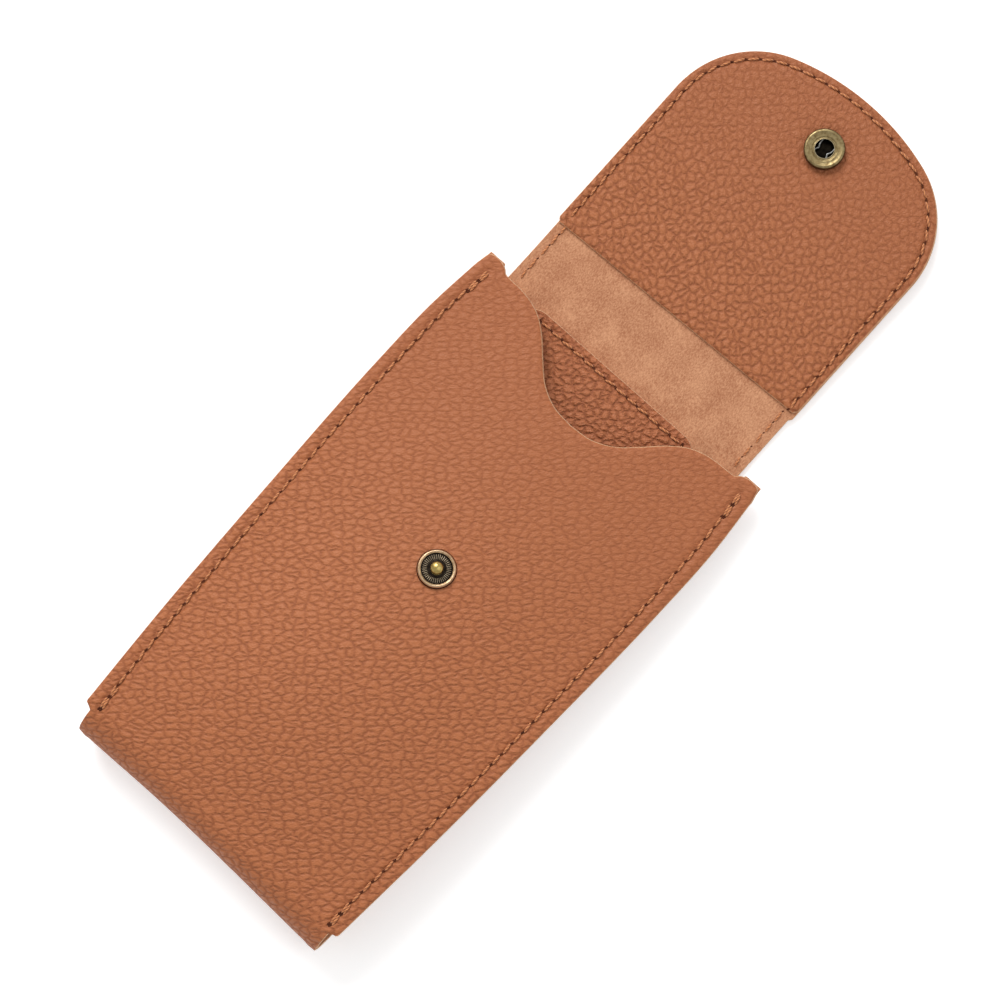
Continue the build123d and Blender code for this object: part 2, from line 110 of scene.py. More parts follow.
SCOOP = np.array([[0, 60.4], [6.5, 61.3], [12, 64.2], [16.2, 68.1], [20.8, 72.6], [25, 75.7],
                  [29.5, 77.4], [33, 77.95], [37, 78.15], [38.8, 78.45], [39.6, 79.2],
                  [41, 79.85], [43.6, 80.0], [44.8, 79.6], [45.4, 78.6], [45.7, 76.2]])
print("flap's rest slope", round(float(np.degrees(REST)), 2), "degrees")

# %% [markdown]
# ## Reading a curve from a few points
#
# The outline of a hand-cut panel is known at a few places only. A cubic Hermite curve runs
# smoothly through them: between two points the value is mixed from both values and both slopes.


# %% A smooth curve through table points
def smooth(table, at):
    """Cubic Hermite through rows (position, value): h00 v0 + h10 m0 + h01 v1 + h11 m1."""
    xs, vs = table[:, 0], table[:, 1]
    slopes = np.gradient(vs, xs)
    at = np.clip(at, xs[0], xs[-1])
    k = np.clip(np.searchsorted(xs, at) - 1, 0, len(xs) - 2)
    span = xs[k + 1] - xs[k]
    t = (at - xs[k]) / span
    a = (1 + 2 * t) * (1 - t) ** 2 * vs[k] + t * (1 - t) ** 2 * span * slopes[k]
    b = t * t * (3 - 2 * t) * vs[k + 1] + t * t * (t - 1) * span * slopes[k + 1]
    return a + b


def step(low, high, at):
    """Smoothstep: 0 below low, 1 above high, 3t^2 - 2t^3 between them."""
    t = np.clip((at - low) / (high - low), 0, 1)
    return t * t * (3 - 2 * t)


def rise(y):
    """Straight line from the mouth's height up to the top of the bottom fold."""
    return MOUTH_Z + (2 * FOLD_R - MOUTH_Z) * (MOUTH_Y - y) / (MOUTH_Y - FOLD_Y)


def front_z(x, y):
    """Front's height: the straight rise plus a crown that fades to the sides."""
    return rise(y) + smooth(CROWN, y) * (1 - np.clip(np.abs(x) / CROWN_HALF, 0, 1) ** 2) ** 2


print("front at the stud stands", round(float(front_z(0.0, STUD_AT[0])), 2), "mm high")

# %% [markdown]
# ## Leather grain in the surface itself
#
# Tumbled leather is a mesh of small cushions between creases. The fine creases come from the
# material further down. Here the surface itself gets the soft swell of the cushions: a field of
# jittered points, and at each place the difference between the second nearest and the nearest
# of them, which is small along a crease and large on a cushion.


# %% Swell of the pebbles
def hash2(a, b, seed):
    """A repeatable number from 0 to 1 for each pair of whole numbers."""
    value = np.sin(a * 127.1 + b * 311.7 + seed * 74.7) * 43758.5453
    return value - np.floor(value)


def pebbles(u, v, size, stretch=1.0, turn=0.0, seed=1):
    """Cushion height from 0 in a crease to 1: 1 - exp(-3 (F2 - F1)) on a jittered grid."""
    c, s = np.cos(turn), np.sin(turn)
    a = (u * c + v * s) / (size * stretch)
    b = (v * c - u * s) / size
    a = a + 0.35 * np.sin(b * 1.3 + 2.0 * np.sin(a * 0.7))
    b = b + 0.25 * np.sin(a * 1.7 + 1.5 * np.sin(b * 0.6))
    near = np.full(np.shape(a), 9.0)
    second = near.copy()
    for da in (-1, 0, 1):
        for db in (-1, 0, 1):
            ca, cb = np.floor(a) + da, np.floor(b) + db
            pa = ca + 0.1 + 0.8 * hash2(ca, cb, seed)
            pb = cb + 0.1 + 0.8 * hash2(ca, cb, seed + 5)
            far = np.hypot(pa - a, pb - b)
            second = np.minimum(second, np.maximum(near, far))
            near = np.minimum(near, far)
    return 1 - np.exp(-3 * (second - near))


def unrest(u, v, seed=0):
    """Slow waves of hand-cut leather, a sum of a few sines, from -1 to 1."""
    w = np.sin(u / 17 + seed) * np.sin(v / 23 + 1.7 * seed) + 0.6 * np.sin(u / 9.1 + v / 13 + seed)
    return (w + 0.4 * np.sin(v / 6.3 - u / 8.7 + 2 * seed)) / 2


def hide_pebbles(x, run):
    """Cushions of the big hide, pulled long in one direction; run is the way from the mouth."""
    return pebbles(x, run, 1.55, 2.3, np.radians(-43), 2)


def hump(gap, depth, reach=0.5):
    """Smooth hump, taken off where a cut edge rolls down: depth times exp(-(gap / reach)^2)."""
    return depth * np.exp(-(gap / reach) ** 2)


print("pebble field ready, mean", round(float(pebbles(*np.mgrid[0:40, 0:40] * 0.3, 2.4).mean()), 3))

# %% [markdown]
# ## A leather panel from a grid
#
# Every panel is a grid of points on its good side. The flesh side is the same grid moved back
# along the normals by the leather's thickness, and a rim with a slightly swollen middle joins
# them, so a panel is one closed skin with three finishes: grain, flesh and cut edge.


# %% Panels as closed sheets
def normals(points):
    """Unit normals of a grid: cross product of its two central differences."""
    across = np.gradient(points, axis=1)
    along = np.gradient(points, axis=0)
    n = np.cross(across, along)
    return n / np.maximum(np.linalg.norm(n, axis=2, keepdims=True), 1e-9)


def grid_faces(index):
    """Four corners of each cell of an index grid, as rows."""
    corners = index[:-1, :-1], index[:-1, 1:], index[1:, 1:], index[1:, :-1]
    return np.stack(corners, -1).reshape(-1, 4)


def ring_index(rows, around):
    """Index grid of rows of rings; the first column comes again at the end, which closes them."""
    index = np.arange(rows * around).reshape(rows, around)
    return np.concatenate([index, index[:, :1]], axis=1)


def make_mesh(name, verts, faces, slots=None, uv=None, sharp=None):
    """A mesh object from vertices in millimetres and four-cornered faces."""
    mesh = bpy.data.meshes.new(name)
    mesh.vertices.add(len(verts))
    mesh.vertices.foreach_set("co", (np.asarray(verts, float) / 1000).astype(np.float32).ravel())
    mesh.loops.add(faces.size)
    mesh.loops.foreach_set("vertex_index", faces.astype(np.int32).ravel())
    mesh.polygons.add(len(faces))
    mesh.polygons.foreach_set("loop_start", np.arange(0, faces.size, 4, dtype=np.int32))
    mesh.update(calc_edges=True)
    mesh.polygons.foreach_set("use_smooth", np.ones(len(faces), bool))
    if slots is not None:
        mesh.polygons.foreach_set("material_index", slots.astype(np.int32))
    if uv is not None:
        layer = mesh.uv_layers.new(name="lay")
        layer.data.foreach_set("uv", (uv[faces.ravel()] / 1000).astype(np.float32).ravel())
    if sharp is not None:
        ends = np.empty(len(mesh.edges) * 2, np.int32)
        mesh.edges.foreach_get("vertices", ends)
        both = sharp[ends.reshape(-1, 2)].all(axis=1)
        mark = mesh.attributes.new("sharp_edge", "BOOLEAN", "EDGE")
        mark.data.foreach_set("value", both)
    mesh.validate()
    piece = bpy.data.objects.new(name, mesh)
    bpy.context.scene.collection.objects.link(piece)
    return piece


def panel(name, points, relief, thickness, uv, swell=0.18, swells=None):
    """Closed panel: good side = points + relief along normals, flesh side = points - thickness.
    The rim's middle stands out by swell, or by what swells gives for a side."""
    n = normals(points)
    good = points + n * relief[..., None]
    back = points - n * thickness
    rows, cols = relief.shape
    index = np.arange(rows * cols).reshape(rows, cols)
    loop = np.concatenate([index[0, :-1], index[:-1, -1], index[-1, :0:-1], index[:0:-1, 0]])
    size = rows * cols
    good, back, n = good.reshape(-1, 3), back.reshape(-1, 3), n.reshape(-1, 3)
    tangent = good[np.roll(loop, -1)] - good[np.roll(loop, 1)]
    outward = np.cross(tangent, n[loop])
    outward /= np.maximum(np.linalg.norm(outward, axis=1, keepdims=True), 1e-9)
    bulge = np.full(len(loop), swell)
    sides = np.concatenate([np.full(cols - 1, "top"), np.full(rows - 1, "right"),
                            np.full(cols - 1, "low"), np.full(rows - 1, "left")])
    for side, amount in (swells or {}).items():
        bulge[sides == side] = amount
    middle = (good[loop] + back[loop]) / 2 + outward * bulge[:, None]
    mid = 2 * size + np.arange(len(loop))
    nxt = np.roll(loop, -1)
    rim_a = np.stack([loop, mid, np.roll(mid, -1), nxt], -1)
    rim_b = np.stack([mid, loop + size, nxt + size, np.roll(mid, -1)], -1)
    top = grid_faces(index)
    low = grid_faces(index + size)[:, ::-1]
    faces = np.concatenate([top, low, rim_a, rim_b])
    slots = np.repeat([0, 1, 2], [len(top), len(low), len(rim_a) + len(rim_b)])
    sharp = np.zeros(2 * size + len(loop), bool)
    sharp[loop] = True
    sharp[loop + size] = True
    uv = uv.reshape(-1, 2)
    verts = np.concatenate([good, back, middle])
    piece = make_mesh(name, verts, faces, slots, np.concatenate([uv, uv, uv[loop]]), sharp)
    print(name, rows, "x", cols, "points,", len(faces) * 2, "triangles")
    return piece


# %% [markdown]
# ## Stitches
#
# The seams are lock-stitched with a waxed thread. Each stitch is a short spindle that comes up
# out of one hole and goes down into the next, a little turned against the seam. All stitches of
# a seam are one mesh: one spindle's points are worked out once and copied to every place.


# %% Rows of stitches
def along(path, pitch):
    """Places every pitch along a path of points, with unit directions: middle of each stitch."""
    steps = np.linalg.norm(np.diff(path, axis=0), axis=1)
    length = np.concatenate([[0], np.cumsum(steps)])
    count = max(2, int(round(length[-1] / pitch)))
    at = (np.arange(count) + 0.5) * length[-1] / count
    spots = np.stack([np.interp(at, length, path[:, i]) for i in range(3)], -1)
    ahead = np.stack([np.interp(at + 0.4, length, path[:, i]) for i in range(3)], -1)
    behind = np.stack([np.interp(at - 0.4, length, path[:, i]) for i in range(3)], -1)
    direction = ahead - behind
    return spots, direction / np.linalg.norm(direction, axis=1, keepdims=True)


def spindles(spots, lead, side, up, length, width, height, lift, size):
    """Closed spindles at spots: radius (1 - t^4)^(1/2), arched by 1 - t^2; vertices, faces, lay."""
    rings, around = 9, 8
    t = np.linspace(-1, 1, rings)
    a = np.linspace(0, 2 * np.pi, around, endpoint=False)
    radius = width / 2 * np.sqrt(np.clip(1 - t ** 4, 0.02, 1))
    x = (t[:, None] * length / 2 + 0 * a)[None] * size
    y = (radius[:, None] * np.cos(a))[None] * size
    z = (radius[:, None] * np.sin(a) * height + lift * (1 - t ** 2)[:, None])[None] * size
    verts = (spots[:, None, None] + lead[:, None, None] * x[..., None]
             + side[:, None, None] * y[..., None] + up[:, None, None] * z[..., None])
    ends = np.array([[0, 1, 2, 7], [2, 3, 6, 7], [3, 4, 5, 6]])
    one = np.concatenate([grid_faces(ring_index(rings, around)), ends[:, ::-1],
                          ends + (rings - 1) * around])
    faces = (one[None] + np.arange(len(spots))[:, None, None] * rings * around).reshape(-1, 4)
    lay = np.stack([x, np.broadcast_to(a * width / 2, x.shape)], -1).reshape(-1, 2)
    return verts.reshape(-1, 3), faces, lay


THREAD_SIZE = (3.0, 0.6, 0.85, 0.30)  # length, width, height to width, arch
# The slit is the flat spindle of painted shade in each hole.
SLIT_SIZE = (1.25, 0.52, 0.3, 0.05)
THREAD_TURN, SLIT_TURN = 7.0, -18.0  # degrees against the seam
DOUBLE_GAP = 0.58  # between the two threads of a back-stitch


def stitch_row(name, path, up, pitch=PITCH, seed=3, sink=0.0, double=0):
    """Thread spindles (slot 0), and in each hole a flat dark spindle of painted shade (slot 1),
    turned the other way.
    The first and last few stitches are double where the seam is sewn back on itself."""
    spots, direction = along(path, pitch)
    up = np.broadcast_to(np.asarray(up, float), spots.shape)
    side = np.cross(up, direction)
    side /= np.linalg.norm(side, axis=1, keepdims=True)
    up = np.cross(direction, side)
    if double:
        ends = np.r_[0:double, len(spots) - double:len(spots)]
        spots = np.concatenate([spots, spots[ends] + side[ends] * DOUBLE_GAP])
        direction, side, up = (np.concatenate([v, v[ends]]) for v in (direction, side, up))
    rng = np.random.default_rng(seed)

    def turned_by(degrees):
        a = np.radians(degrees + rng.normal(0, 3.0, len(spots)))[:, None]
        return direction * np.cos(a) + side * np.sin(a), side * np.cos(a) - direction * np.sin(a)

    size = 1 + rng.normal(0, 0.05, len(spots))[:, None, None]
    verts, faces, lay = spindles(spots - up * (0.10 + sink), *turned_by(THREAD_TURN), up,
                                 *THREAD_SIZE, size)
    # Painted shade: a flat dark spindle sunk in each hole.
    dark, shade_faces, shade_lay = spindles(spots + direction * pitch / 2 - up * (0.18 + sink),
                                          *turned_by(SLIT_TURN), up, *SLIT_SIZE, size)
    slots = np.repeat([0, 1], [len(faces), len(shade_faces)])
    piece = make_mesh(name, np.concatenate([verts, dark]),
                      np.concatenate([faces, shade_faces + len(verts)]),
                      slots, np.concatenate([lay, shade_lay]))
    print(name, len(spots), "stitches")
    return piece


def holes(offset, at, length, pitch=PITCH):
    """Dent of a seam: a shallow groove along it and a pit at each hole between two stitches."""
    count = max(2, int(round(length / pitch)))
    real = length / count
    phase = (at / real + 0.5) % 1.0 - 0.5
    pit = 0.30 * np.exp(-(offset / 0.6) ** 2 - (phase * real / 0.6) ** 2)
    inside = step(-1.5, 0.0, at) * step(-1.5, 0.0, length - at)
    return -(hump(offset, 0.28, 1.0) + pit) * inside


# %% [markdown]
# ## Front panel and bottom fold
#
# The panel's rows run from the scooped top edge down the front, and round the bottom fold until
# they lie flat on the table. Columns follow the side edges. The side edges carry a seam, so the
# grain dips along it. Every edge rolls down a little where the cut was burnished, but hardly
# round the fold, whose ends are crisp.

# %% Front panel's points
ROWS, COLS, BEND = 236, 164, 50
FOLD_BOW = 0.9  # the fold's middle stands back by this much
across = np.linspace(1, -1, COLS)
top_y = smooth(SCOOP, np.abs(across) * SCOOP[-1, 0])
y_front = top_y[None] + (FOLD_Y - top_y[None]) * np.linspace(0, 1, ROWS)[:, None]
turn = np.linspace(0, np.pi, BEND + 1)[1:, None]
y_fold = FOLD_Y - (FOLD_R - FOLD_BOW * (1 - across[None] ** 2) ** 2) * np.sin(turn)
half = smooth(FRONT_HALF, y_front)
half_fold = FOLD_HALF + (42.2 - FOLD_HALF) * step(SEAM_END_Y - 0.35, SEAM_END_Y + 0.9, y_fold)
half = np.concatenate([half, np.where(turn > 1.3, FOLD_HALF, half_fold)])
x = half * across[None]
y = np.concatenate([y_front, y_fold])
z = np.concatenate([front_z(x[:ROWS], y_front), FOLD_R + FOLD_R * np.cos(turn) + 0 * across[None]])
front_points = np.stack([x, y, z], -1)
print("front and fold reach y", round(float(y.min()), 2), "to", round(float(y.max()), 2), "mm")

# %% Front panel's grain, seams and edges
run = np.concatenate([MOUTH_Y - y_front, MOUTH_Y - FOLD_Y + FOLD_R * turn + 0 * across[None]])
edge = half - np.abs(x)
top_gap = np.concatenate([top_y[None] - y_front, np.full((BEND, COLS), 60.0)])
fade = step(0.0, 1.6, edge) * step(0.0, 1.4, top_gap)
relief = 0.035 * hide_pebbles(x, run) * fade + 0.16 * unrest(x, run, 1.0) * fade
crisp = 1 - 0.8 * step(-1.0, 1.0, run - (MOUTH_Y - FOLD_Y))
relief = relief - hump(edge, 0.34 * crisp) - hump(top_gap, 0.30, 0.45)
relief = relief + holes(edge - FRONT_INSET, run - SEAM_TOP, 145.2) + hump(edge - 1.9, 0.12, 0.8)
shell_front = panel("shell_front", front_points, relief, SKIN, np.stack([x, run], -1),
                    swells={"low": 0.0, "top": 0.3})
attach(shell_front, "case")

# %% [markdown]
# ## Back panel and the first fold
#
# The back goes on from the bottom fold, runs under the pouch, leaves it at the mouth and goes
# on as the bare strip that the flap folds along. It spans the mouth, where two bodies meet, and
# stays where it is made, on no body. The good side faces down.

# %% Back panel
ROWS, COLS = 236, 120
across = np.linspace(1, -1, COLS)
y_back = np.linspace(FOLD_Y, MOUTH_Y + BRIDGE / 2, ROWS)[:, None] + 0 * across[None]
beyond = step(SEAM_END_Y, SEAM_END_Y + 1.3, y_back)
half = FOLD_HALF + (smooth(BACK_HALF, y_back) - FOLD_HALF) * beyond
x = half * across[None]
edge = half - np.abs(x)
RUN_LOW = MOUTH_Y - FOLD_Y + FOLD_R * np.pi  # way down the front and round the fold
run = RUN_LOW + (y_back - FOLD_Y)
relief = -0.04 * (1 - hide_pebbles(x, run)) * step(0.0, 1.6, edge) - hump(edge, 0.30)
relief = relief + holes(edge - BACK_INSET, MOUTH_Y - SEAM_TOP - y_back, 144.0)
back_points = np.stack([x, y_back, 0 * x], -1)
shell_back = panel("shell_back", back_points, relief, SKIN, np.stack([x, run], -1),
                   swells={"top": 0.0, "low": 0.0})
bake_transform(shell_back)
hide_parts("outer_shell")

# %% [markdown]
# ## Flap skin
#
# The rest of the same hide: it starts in the middle of the strip and ends in the flap's broad
# curve. Near the side edges the columns crowd together, so the round corners stay round. The
# flap lies on its snap's cap, so its plane rises a little towards the tip.


# %% Flap outline and plane
def flap_end(x, inset=0.0):
    """The flap's end: an arc of 68 mm, met by corner arcs of 26 mm, drawn in by an inset."""
    x = np.minimum(np.abs(x), HALF_FLAP - inset)
    arc = FLAP_LEN - TIP_R + np.sqrt((TIP_R - inset) ** 2 - x ** 2)
    corner = CORNER_S + np.sqrt(np.maximum((CORNER_R - inset) ** 2 - (x - CORNER_X) ** 2, 0))
    beyond = x * (CORNER_S - FLAP_LEN + TIP_R) > CORNER_X * (arc - FLAP_LEN + TIP_R)
    return np.where(beyond, corner, arc)


def on_flap(x, s, height):
    """Point of the open flap: s along it from the second fold, height above the skin's middle."""
    c, r = np.cos(REST), np.sin(REST)
    lift = np.clip((s + 1.0) / 2.0, 0, 1) * (s > -1)
    c, r = 1 + (c - 1) * lift, r * lift
    return np.stack([x + 0 * s, FOLD_2[1] + s * c - height * r, FOLD_2[2] + s * r + height * c], -1)


def flap_grid(rows, cols, start, inset, flip=1, skew=0.0):
    """Columns x = half width times the sine of a quarter turn, rows from start to the end curve."""
    x = (HALF_FLAP - inset) * np.sin(np.linspace(-1, 1, cols) * np.pi / 2)[None] * flip
    end = flap_end(x, inset)
    first = start + skew * x
    s = first + (end - first) * np.linspace(0, 1, rows)[:, None]
    widening = step(LINING_AT - 1.0, LINING_AT, np.minimum(s[:, :1], s[:, -1:]))
    half = HALF_STRIP + (HALF_FLAP - HALF_STRIP) * widening
    x = x * half / HALF_FLAP
    side = half - inset - np.abs(x)
    to_arc = TIP_R - inset - np.hypot(x, s - (FLAP_LEN - TIP_R))
    to_corner = CORNER_R - inset - np.hypot(np.abs(x) - CORNER_X, s - CORNER_S)
    reach = np.maximum(s - (FLAP_LEN - TIP_R), 1e-6)
    beyond = (s > CORNER_S) & (np.abs(x) / reach > CORNER_X / (CORNER_S - FLAP_LEN + TIP_R))
    return x, s, np.maximum(np.where(beyond, to_corner, np.minimum(side, to_arc)), 0)


ARC_LIMIT = np.arctan2(CORNER_X, CORNER_S - FLAP_LEN + TIP_R)


def outline_run(x, s, inset):
    """Length along the seam from the tip's middle to the nearest place, for spacing the holes."""
    big, small = TIP_R - inset, CORNER_R - inset
    angle = np.arctan2(np.abs(x), np.maximum(s - (FLAP_LEN - TIP_R), 1e-6))
    around = np.arctan2(np.abs(x) - CORNER_X, np.maximum(s - CORNER_S, 1e-6))
    corner = small * np.clip(around - ARC_LIMIT, 0, np.pi / 2 - ARC_LIMIT)
    straight = small * (np.pi / 2 - ARC_LIMIT) + CORNER_S - s
    beyond = np.where((s < CORNER_S) & (np.abs(x) > CORNER_X), straight, corner)
    return np.where((angle < ARC_LIMIT) & (s > CORNER_S), big * angle, big * ARC_LIMIT + beyond)


seam_foot = np.array(HALF_FLAP - FLAP_INSET), np.array(LINING_AT + 1.2)
SEAM_HALF = float(outline_run(*seam_foot, FLAP_INSET))
SEAM_PITCH = SEAM_HALF / 26
print("flap reaches y", round(float(FOLD_2[1] + FLAP_LEN * np.cos(REST)), 1), "mm")

# %% Flap skin
x, s, gap = flap_grid(150, 150, -BRIDGE / 2, 0.0, flip=-1)
run = RUN_LOW + (FOLD_2[1] + s - FOLD_Y)
seam_run = outline_run(x, s, FLAP_INSET)
relief = -0.04 * (1 - hide_pebbles(x, run)) * step(0.0, 1.6, gap) - hump(gap, 0.28)
relief = relief + 0.6 * holes(gap - FLAP_INSET, seam_run, SEAM_HALF + 15, SEAM_PITCH)
flap_points = on_flap(x, s, -SKIN / 2 + 0 * s)
flap_skin = panel("flap_skin_leather", flap_points, relief, SKIN, np.stack([x, run], -1),
                  swells={"top": 0.0})
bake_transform(flap_skin)
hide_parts("fold_strip")
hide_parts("flap_skin")

# %% [markdown]
# ## Flap lining
#
# A second, thinner piece of the same hide is sewn inside the flap, good side up. Its cut edge
# crosses the strip. Its pebbles are smaller and rounder than the front's.

# %% Flap lining
SKEW, LINING_INSET = 0.03, 0.2  # the low edge isn't quite square to the sides
x, s, gap = flap_grid(150, 150, LINING_AT, LINING_INSET, skew=SKEW)
low_gap = s - LINING_AT - SKEW * x
fade = step(0.0, 1.5, gap) * step(0.0, 1.3, low_gap)
relief = 0.06 * pebbles(x, s, 1.75, 1.15, np.radians(30), 7) * fade
relief = relief + 0.10 * unrest(x, s, 3.0) * fade
relief = relief - hump(gap, 0.30) - hump(low_gap, 0.26, 0.4)
seam = holes(gap - 2.1, outline_run(x, s, FLAP_INSET), SEAM_HALF + 1, SEAM_PITCH)
relief = relief + seam * step(0.6, 1.8, low_gap)
relief = relief - hump(np.hypot(x, s - SOCKET_AT) - 5.4, 0.25, 0.8)
lining_points = on_flap(x, s, SKIN / 2 + LINING + 0 * s)
flap_lining = panel("flap_lining_leather", lining_points, relief, LINING - 0.03,
                    np.stack([x, s], -1))
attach(flap_lining, "flap")
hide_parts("flap_lining")

# %% [markdown]
# ## Gussets
#
# A gusset is a narrow strip folded inwards like a bellows, with one flange sewn under the front
# and one on the back. Its section is a bent line, rounded by averaging neighbours, and carried
# from the mouth to the bottom with the pouch's growing depth.


# %% Gussets
GUSSET_SKIN = 0.95


def gusset(name, side):
    """Bellows strip: section line through five points, softened by a moving average."""
    y = np.linspace(78.0, SEAM_END_Y + 0.3, 150)[:, None]
    top, base = rise(y) - SKIN - 0.15, SKIN + 0.05 + 0 * y
    front, back = smooth(FRONT_HALF, y) - 0.35, smooth(BACK_HALF, y) - 0.35
    apex = 31.2 - 1.4 * (MOUTH_Y - y) / 149
    px = np.concatenate([front, front - 6.6, apex, back - 5.0, back], 1)
    pz = np.concatenate([top, top, (top + base) / 2, base, base], 1)
    t = np.linspace(0, 1, 61)
    k = np.clip((t * 4).astype(int), 0, 3)
    f = t * 4 - k
    x = px[:, k] * (1 - f) + px[:, k + 1] * f
    z = pz[:, k] * (1 - f) + pz[:, k + 1] * f
    for _ in range(7):
        x[:, 1:-1] = (x[:, :-2] + x[:, 1:-1] + x[:, 2:]) / 3
        z[:, 1:-1] = (z[:, :-2] + z[:, 1:-1] + z[:, 2:]) / 3
    z[:, :8], z[:, -8:] = pz[:, :1], pz[:, -1:]
    # the raw end is drawn out behind the front's corner
    drawn_y = y + 2.5 * step(39.2, 40.6, x) * step(4.0, 5.0, z) * step(70.0, 78.0, y)
    points = np.stack([x * side, drawn_y, z], -1)[:, ::side]
    relief = 0.10 * (pebbles(z * 1.6 + x, drawn_y, 1.8, 1.2, 0.3, 9) - 1)
    lay = np.stack([np.broadcast_to(t * 26, x.shape), drawn_y], -1)
    piece = panel(name, points, relief, GUSSET_SKIN, lay, swell=0.08)
    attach(piece, "case")
    return piece


gusset_right = gusset("gusset_leather_right", 1)
gusset_left = gusset("gusset_leather_left", -1)
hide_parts("right_gusset")
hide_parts("left_gusset")

# %% [markdown]
# ## Slide-in card
#
# A stiff card slides into the pouch: a board between two leather faces, sewn all round.
# The two faces are panels with rounded corners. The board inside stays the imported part.


# %% Card faces
def rounded_grid(rows, cols, centre, width, length, radius):
    """Rectangle with round corners: rows crowd at both ends, each as wide as the outline there."""
    s = np.sin(np.linspace(-1, 1, rows) * np.pi / 2)[:, None] * length / 2
    over = np.maximum(np.abs(s) - (length / 2 - radius), 0)
    half = width / 2 - radius + np.sqrt(np.maximum(radius ** 2 - over ** 2, 0))
    x = half * np.linspace(-1, 1, cols)[None]
    in_corner = (over > 0) & (np.abs(x) > width / 2 - radius)
    gap = np.minimum(width / 2 - np.abs(x), length / 2 - np.abs(s) + 0 * x)
    gap = np.where(in_corner, radius - np.hypot(over, np.abs(x) - (width / 2 - radius)), gap)
    return centre[0] + x, centre[1] + s + 0 * x, np.maximum(gap, 0)


def card_face(name, z, up, seed):
    """One leather face of the card, good side up or down."""
    x, y, gap = rounded_grid(190, 90, CARD_C, CARD_W, CARD_L, 5.0)
    if up < 0:
        x, y, gap = x[::-1], y[::-1], gap[::-1]
    fade = step(0.0, 1.5, gap)
    relief = 0.15 * (pebbles(x, y, 1.8, 1.3, 0.5, seed) - 1) * fade - hump(gap, 0.26)
    spot = np.where(np.abs(y - CARD_C[1]) > CARD_L / 2 - 4, x, y)
    relief = relief + 0.8 * holes(gap - FLAP_INSET, spot + 200, 400.0)
    points = np.stack([x, y, z + 0 * x], -1)
    piece = panel(name, points, relief, 0.98, np.stack([x, y], -1))
    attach(piece, "insert")
    return piece


card_face_top = card_face("card_face_leather", CARD_TOP, 1, 12)
card_face_low = card_face("card_back_leather", CARD_Z, -1, 13)
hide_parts("insert_face")
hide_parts("insert_back")

# %% [markdown]
# ## The seams' thread
#
# Front and back seams run down both sides. The flap's seam goes round its whole edge, seen from
# both sides, and runs on over the bare strip. Each row is given its path and which way is up.

# %% Thread of the side seams
def side_seam(name, rows, inset, low, z_of, up, seed):
    """A side seam from just below the mouth to where the gusset ends."""
    side = -1 if "left" in name else 1
    y = np.linspace(MOUTH_Y - SEAM_TOP, low, 200)
    x = (smooth(rows, y) - inset) * side
    piece = stitch_row(name + "_thread", np.stack([x, y, z_of(x, y)], -1), up, seed=seed + side,
                       sink=0.28 if up[2] < 0 else 0.0, double=2)
    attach(piece, "case")
    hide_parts(name)


for word in ("left", "right"):
    side_seam("front_seam_" + word, FRONT_HALF, FRONT_INSET, -69.0,
              lambda x, y: front_z(x, y) - 0.06, (0, 0.075, 1), 20)
    side_seam("back_seam_" + word, BACK_HALF, BACK_INSET, -67.8,
              lambda x, y: 0 * x + 0.16, (0, 0, -1), 30)

# %% Thread of the flap
run = np.linspace(0, SEAM_HALF, 400)
big, small = TIP_R - FLAP_INSET, CORNER_R - FLAP_INSET
arc_end = big * ARC_LIMIT
bend_end = arc_end + small * (np.pi / 2 - ARC_LIMIT)
a = run / big
b = np.minimum(ARC_LIMIT + (run - arc_end) / small, np.pi / 2)
on_arc = run < arc_end
px = np.where(on_arc, big * np.sin(a), CORNER_X + small * np.sin(b))
ps = np.where(on_arc, FLAP_LEN - TIP_R + big * np.cos(a), CORNER_S + small * np.cos(b))
ps = ps - np.maximum(run - bend_end, 0)
whole = np.concatenate([-px[::-1], px[1:]]), np.concatenate([ps[::-1], ps[1:]])
flap_up = np.array([0, -np.sin(REST), np.cos(REST)])
top_path, low_path = on_flap(*whole, SKIN / 2 + LINING - 0.06), on_flap(*whole, -SKIN / 2 + 0.16)
seam_top = stitch_row("flap_seam_thread", top_path, flap_up, SEAM_PITCH, seed=40)
seam_low = stitch_row("flap_seam_thread_under", low_path, -flap_up, SEAM_PITCH, seed=41)
for piece in (seam_top, seam_low):
    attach(piece, "flap")
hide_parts("flap_seam")

# %% Thread of the strip
for side, word in ((-1, "left"), (1, "right")):
    seam_x = side * (HALF_STRIP - FLAP_INSET)
    s = np.linspace(0.6, 0.6 + 3 * SEAM_PITCH, 60)
    piece = stitch_row("strip_thread_flap_" + word, on_flap(seam_x + 0 * s, s, SKIN / 2), flap_up,
                       SEAM_PITCH, seed=50 + side, sink=-0.08)
    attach(piece, "flap")
    y = np.linspace(MOUTH_Y + 1.0, MOUTH_Y + 1.0 + 2 * STRIP_PITCH, 60)
    row = np.stack([seam_x + 0 * y, y, SKIN + 0 * y], -1)
    piece = stitch_row("strip_thread_" + word, row, (0, 0, 1), STRIP_PITCH, seed=60 + side,
                       sink=-0.08)
    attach(piece, "bridge")
    if side > 0:
        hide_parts("strip_stitches")

# %% [markdown]
# The card's seam is a rounded rectangle, walked once round: four straights joined by quarter
# circles.

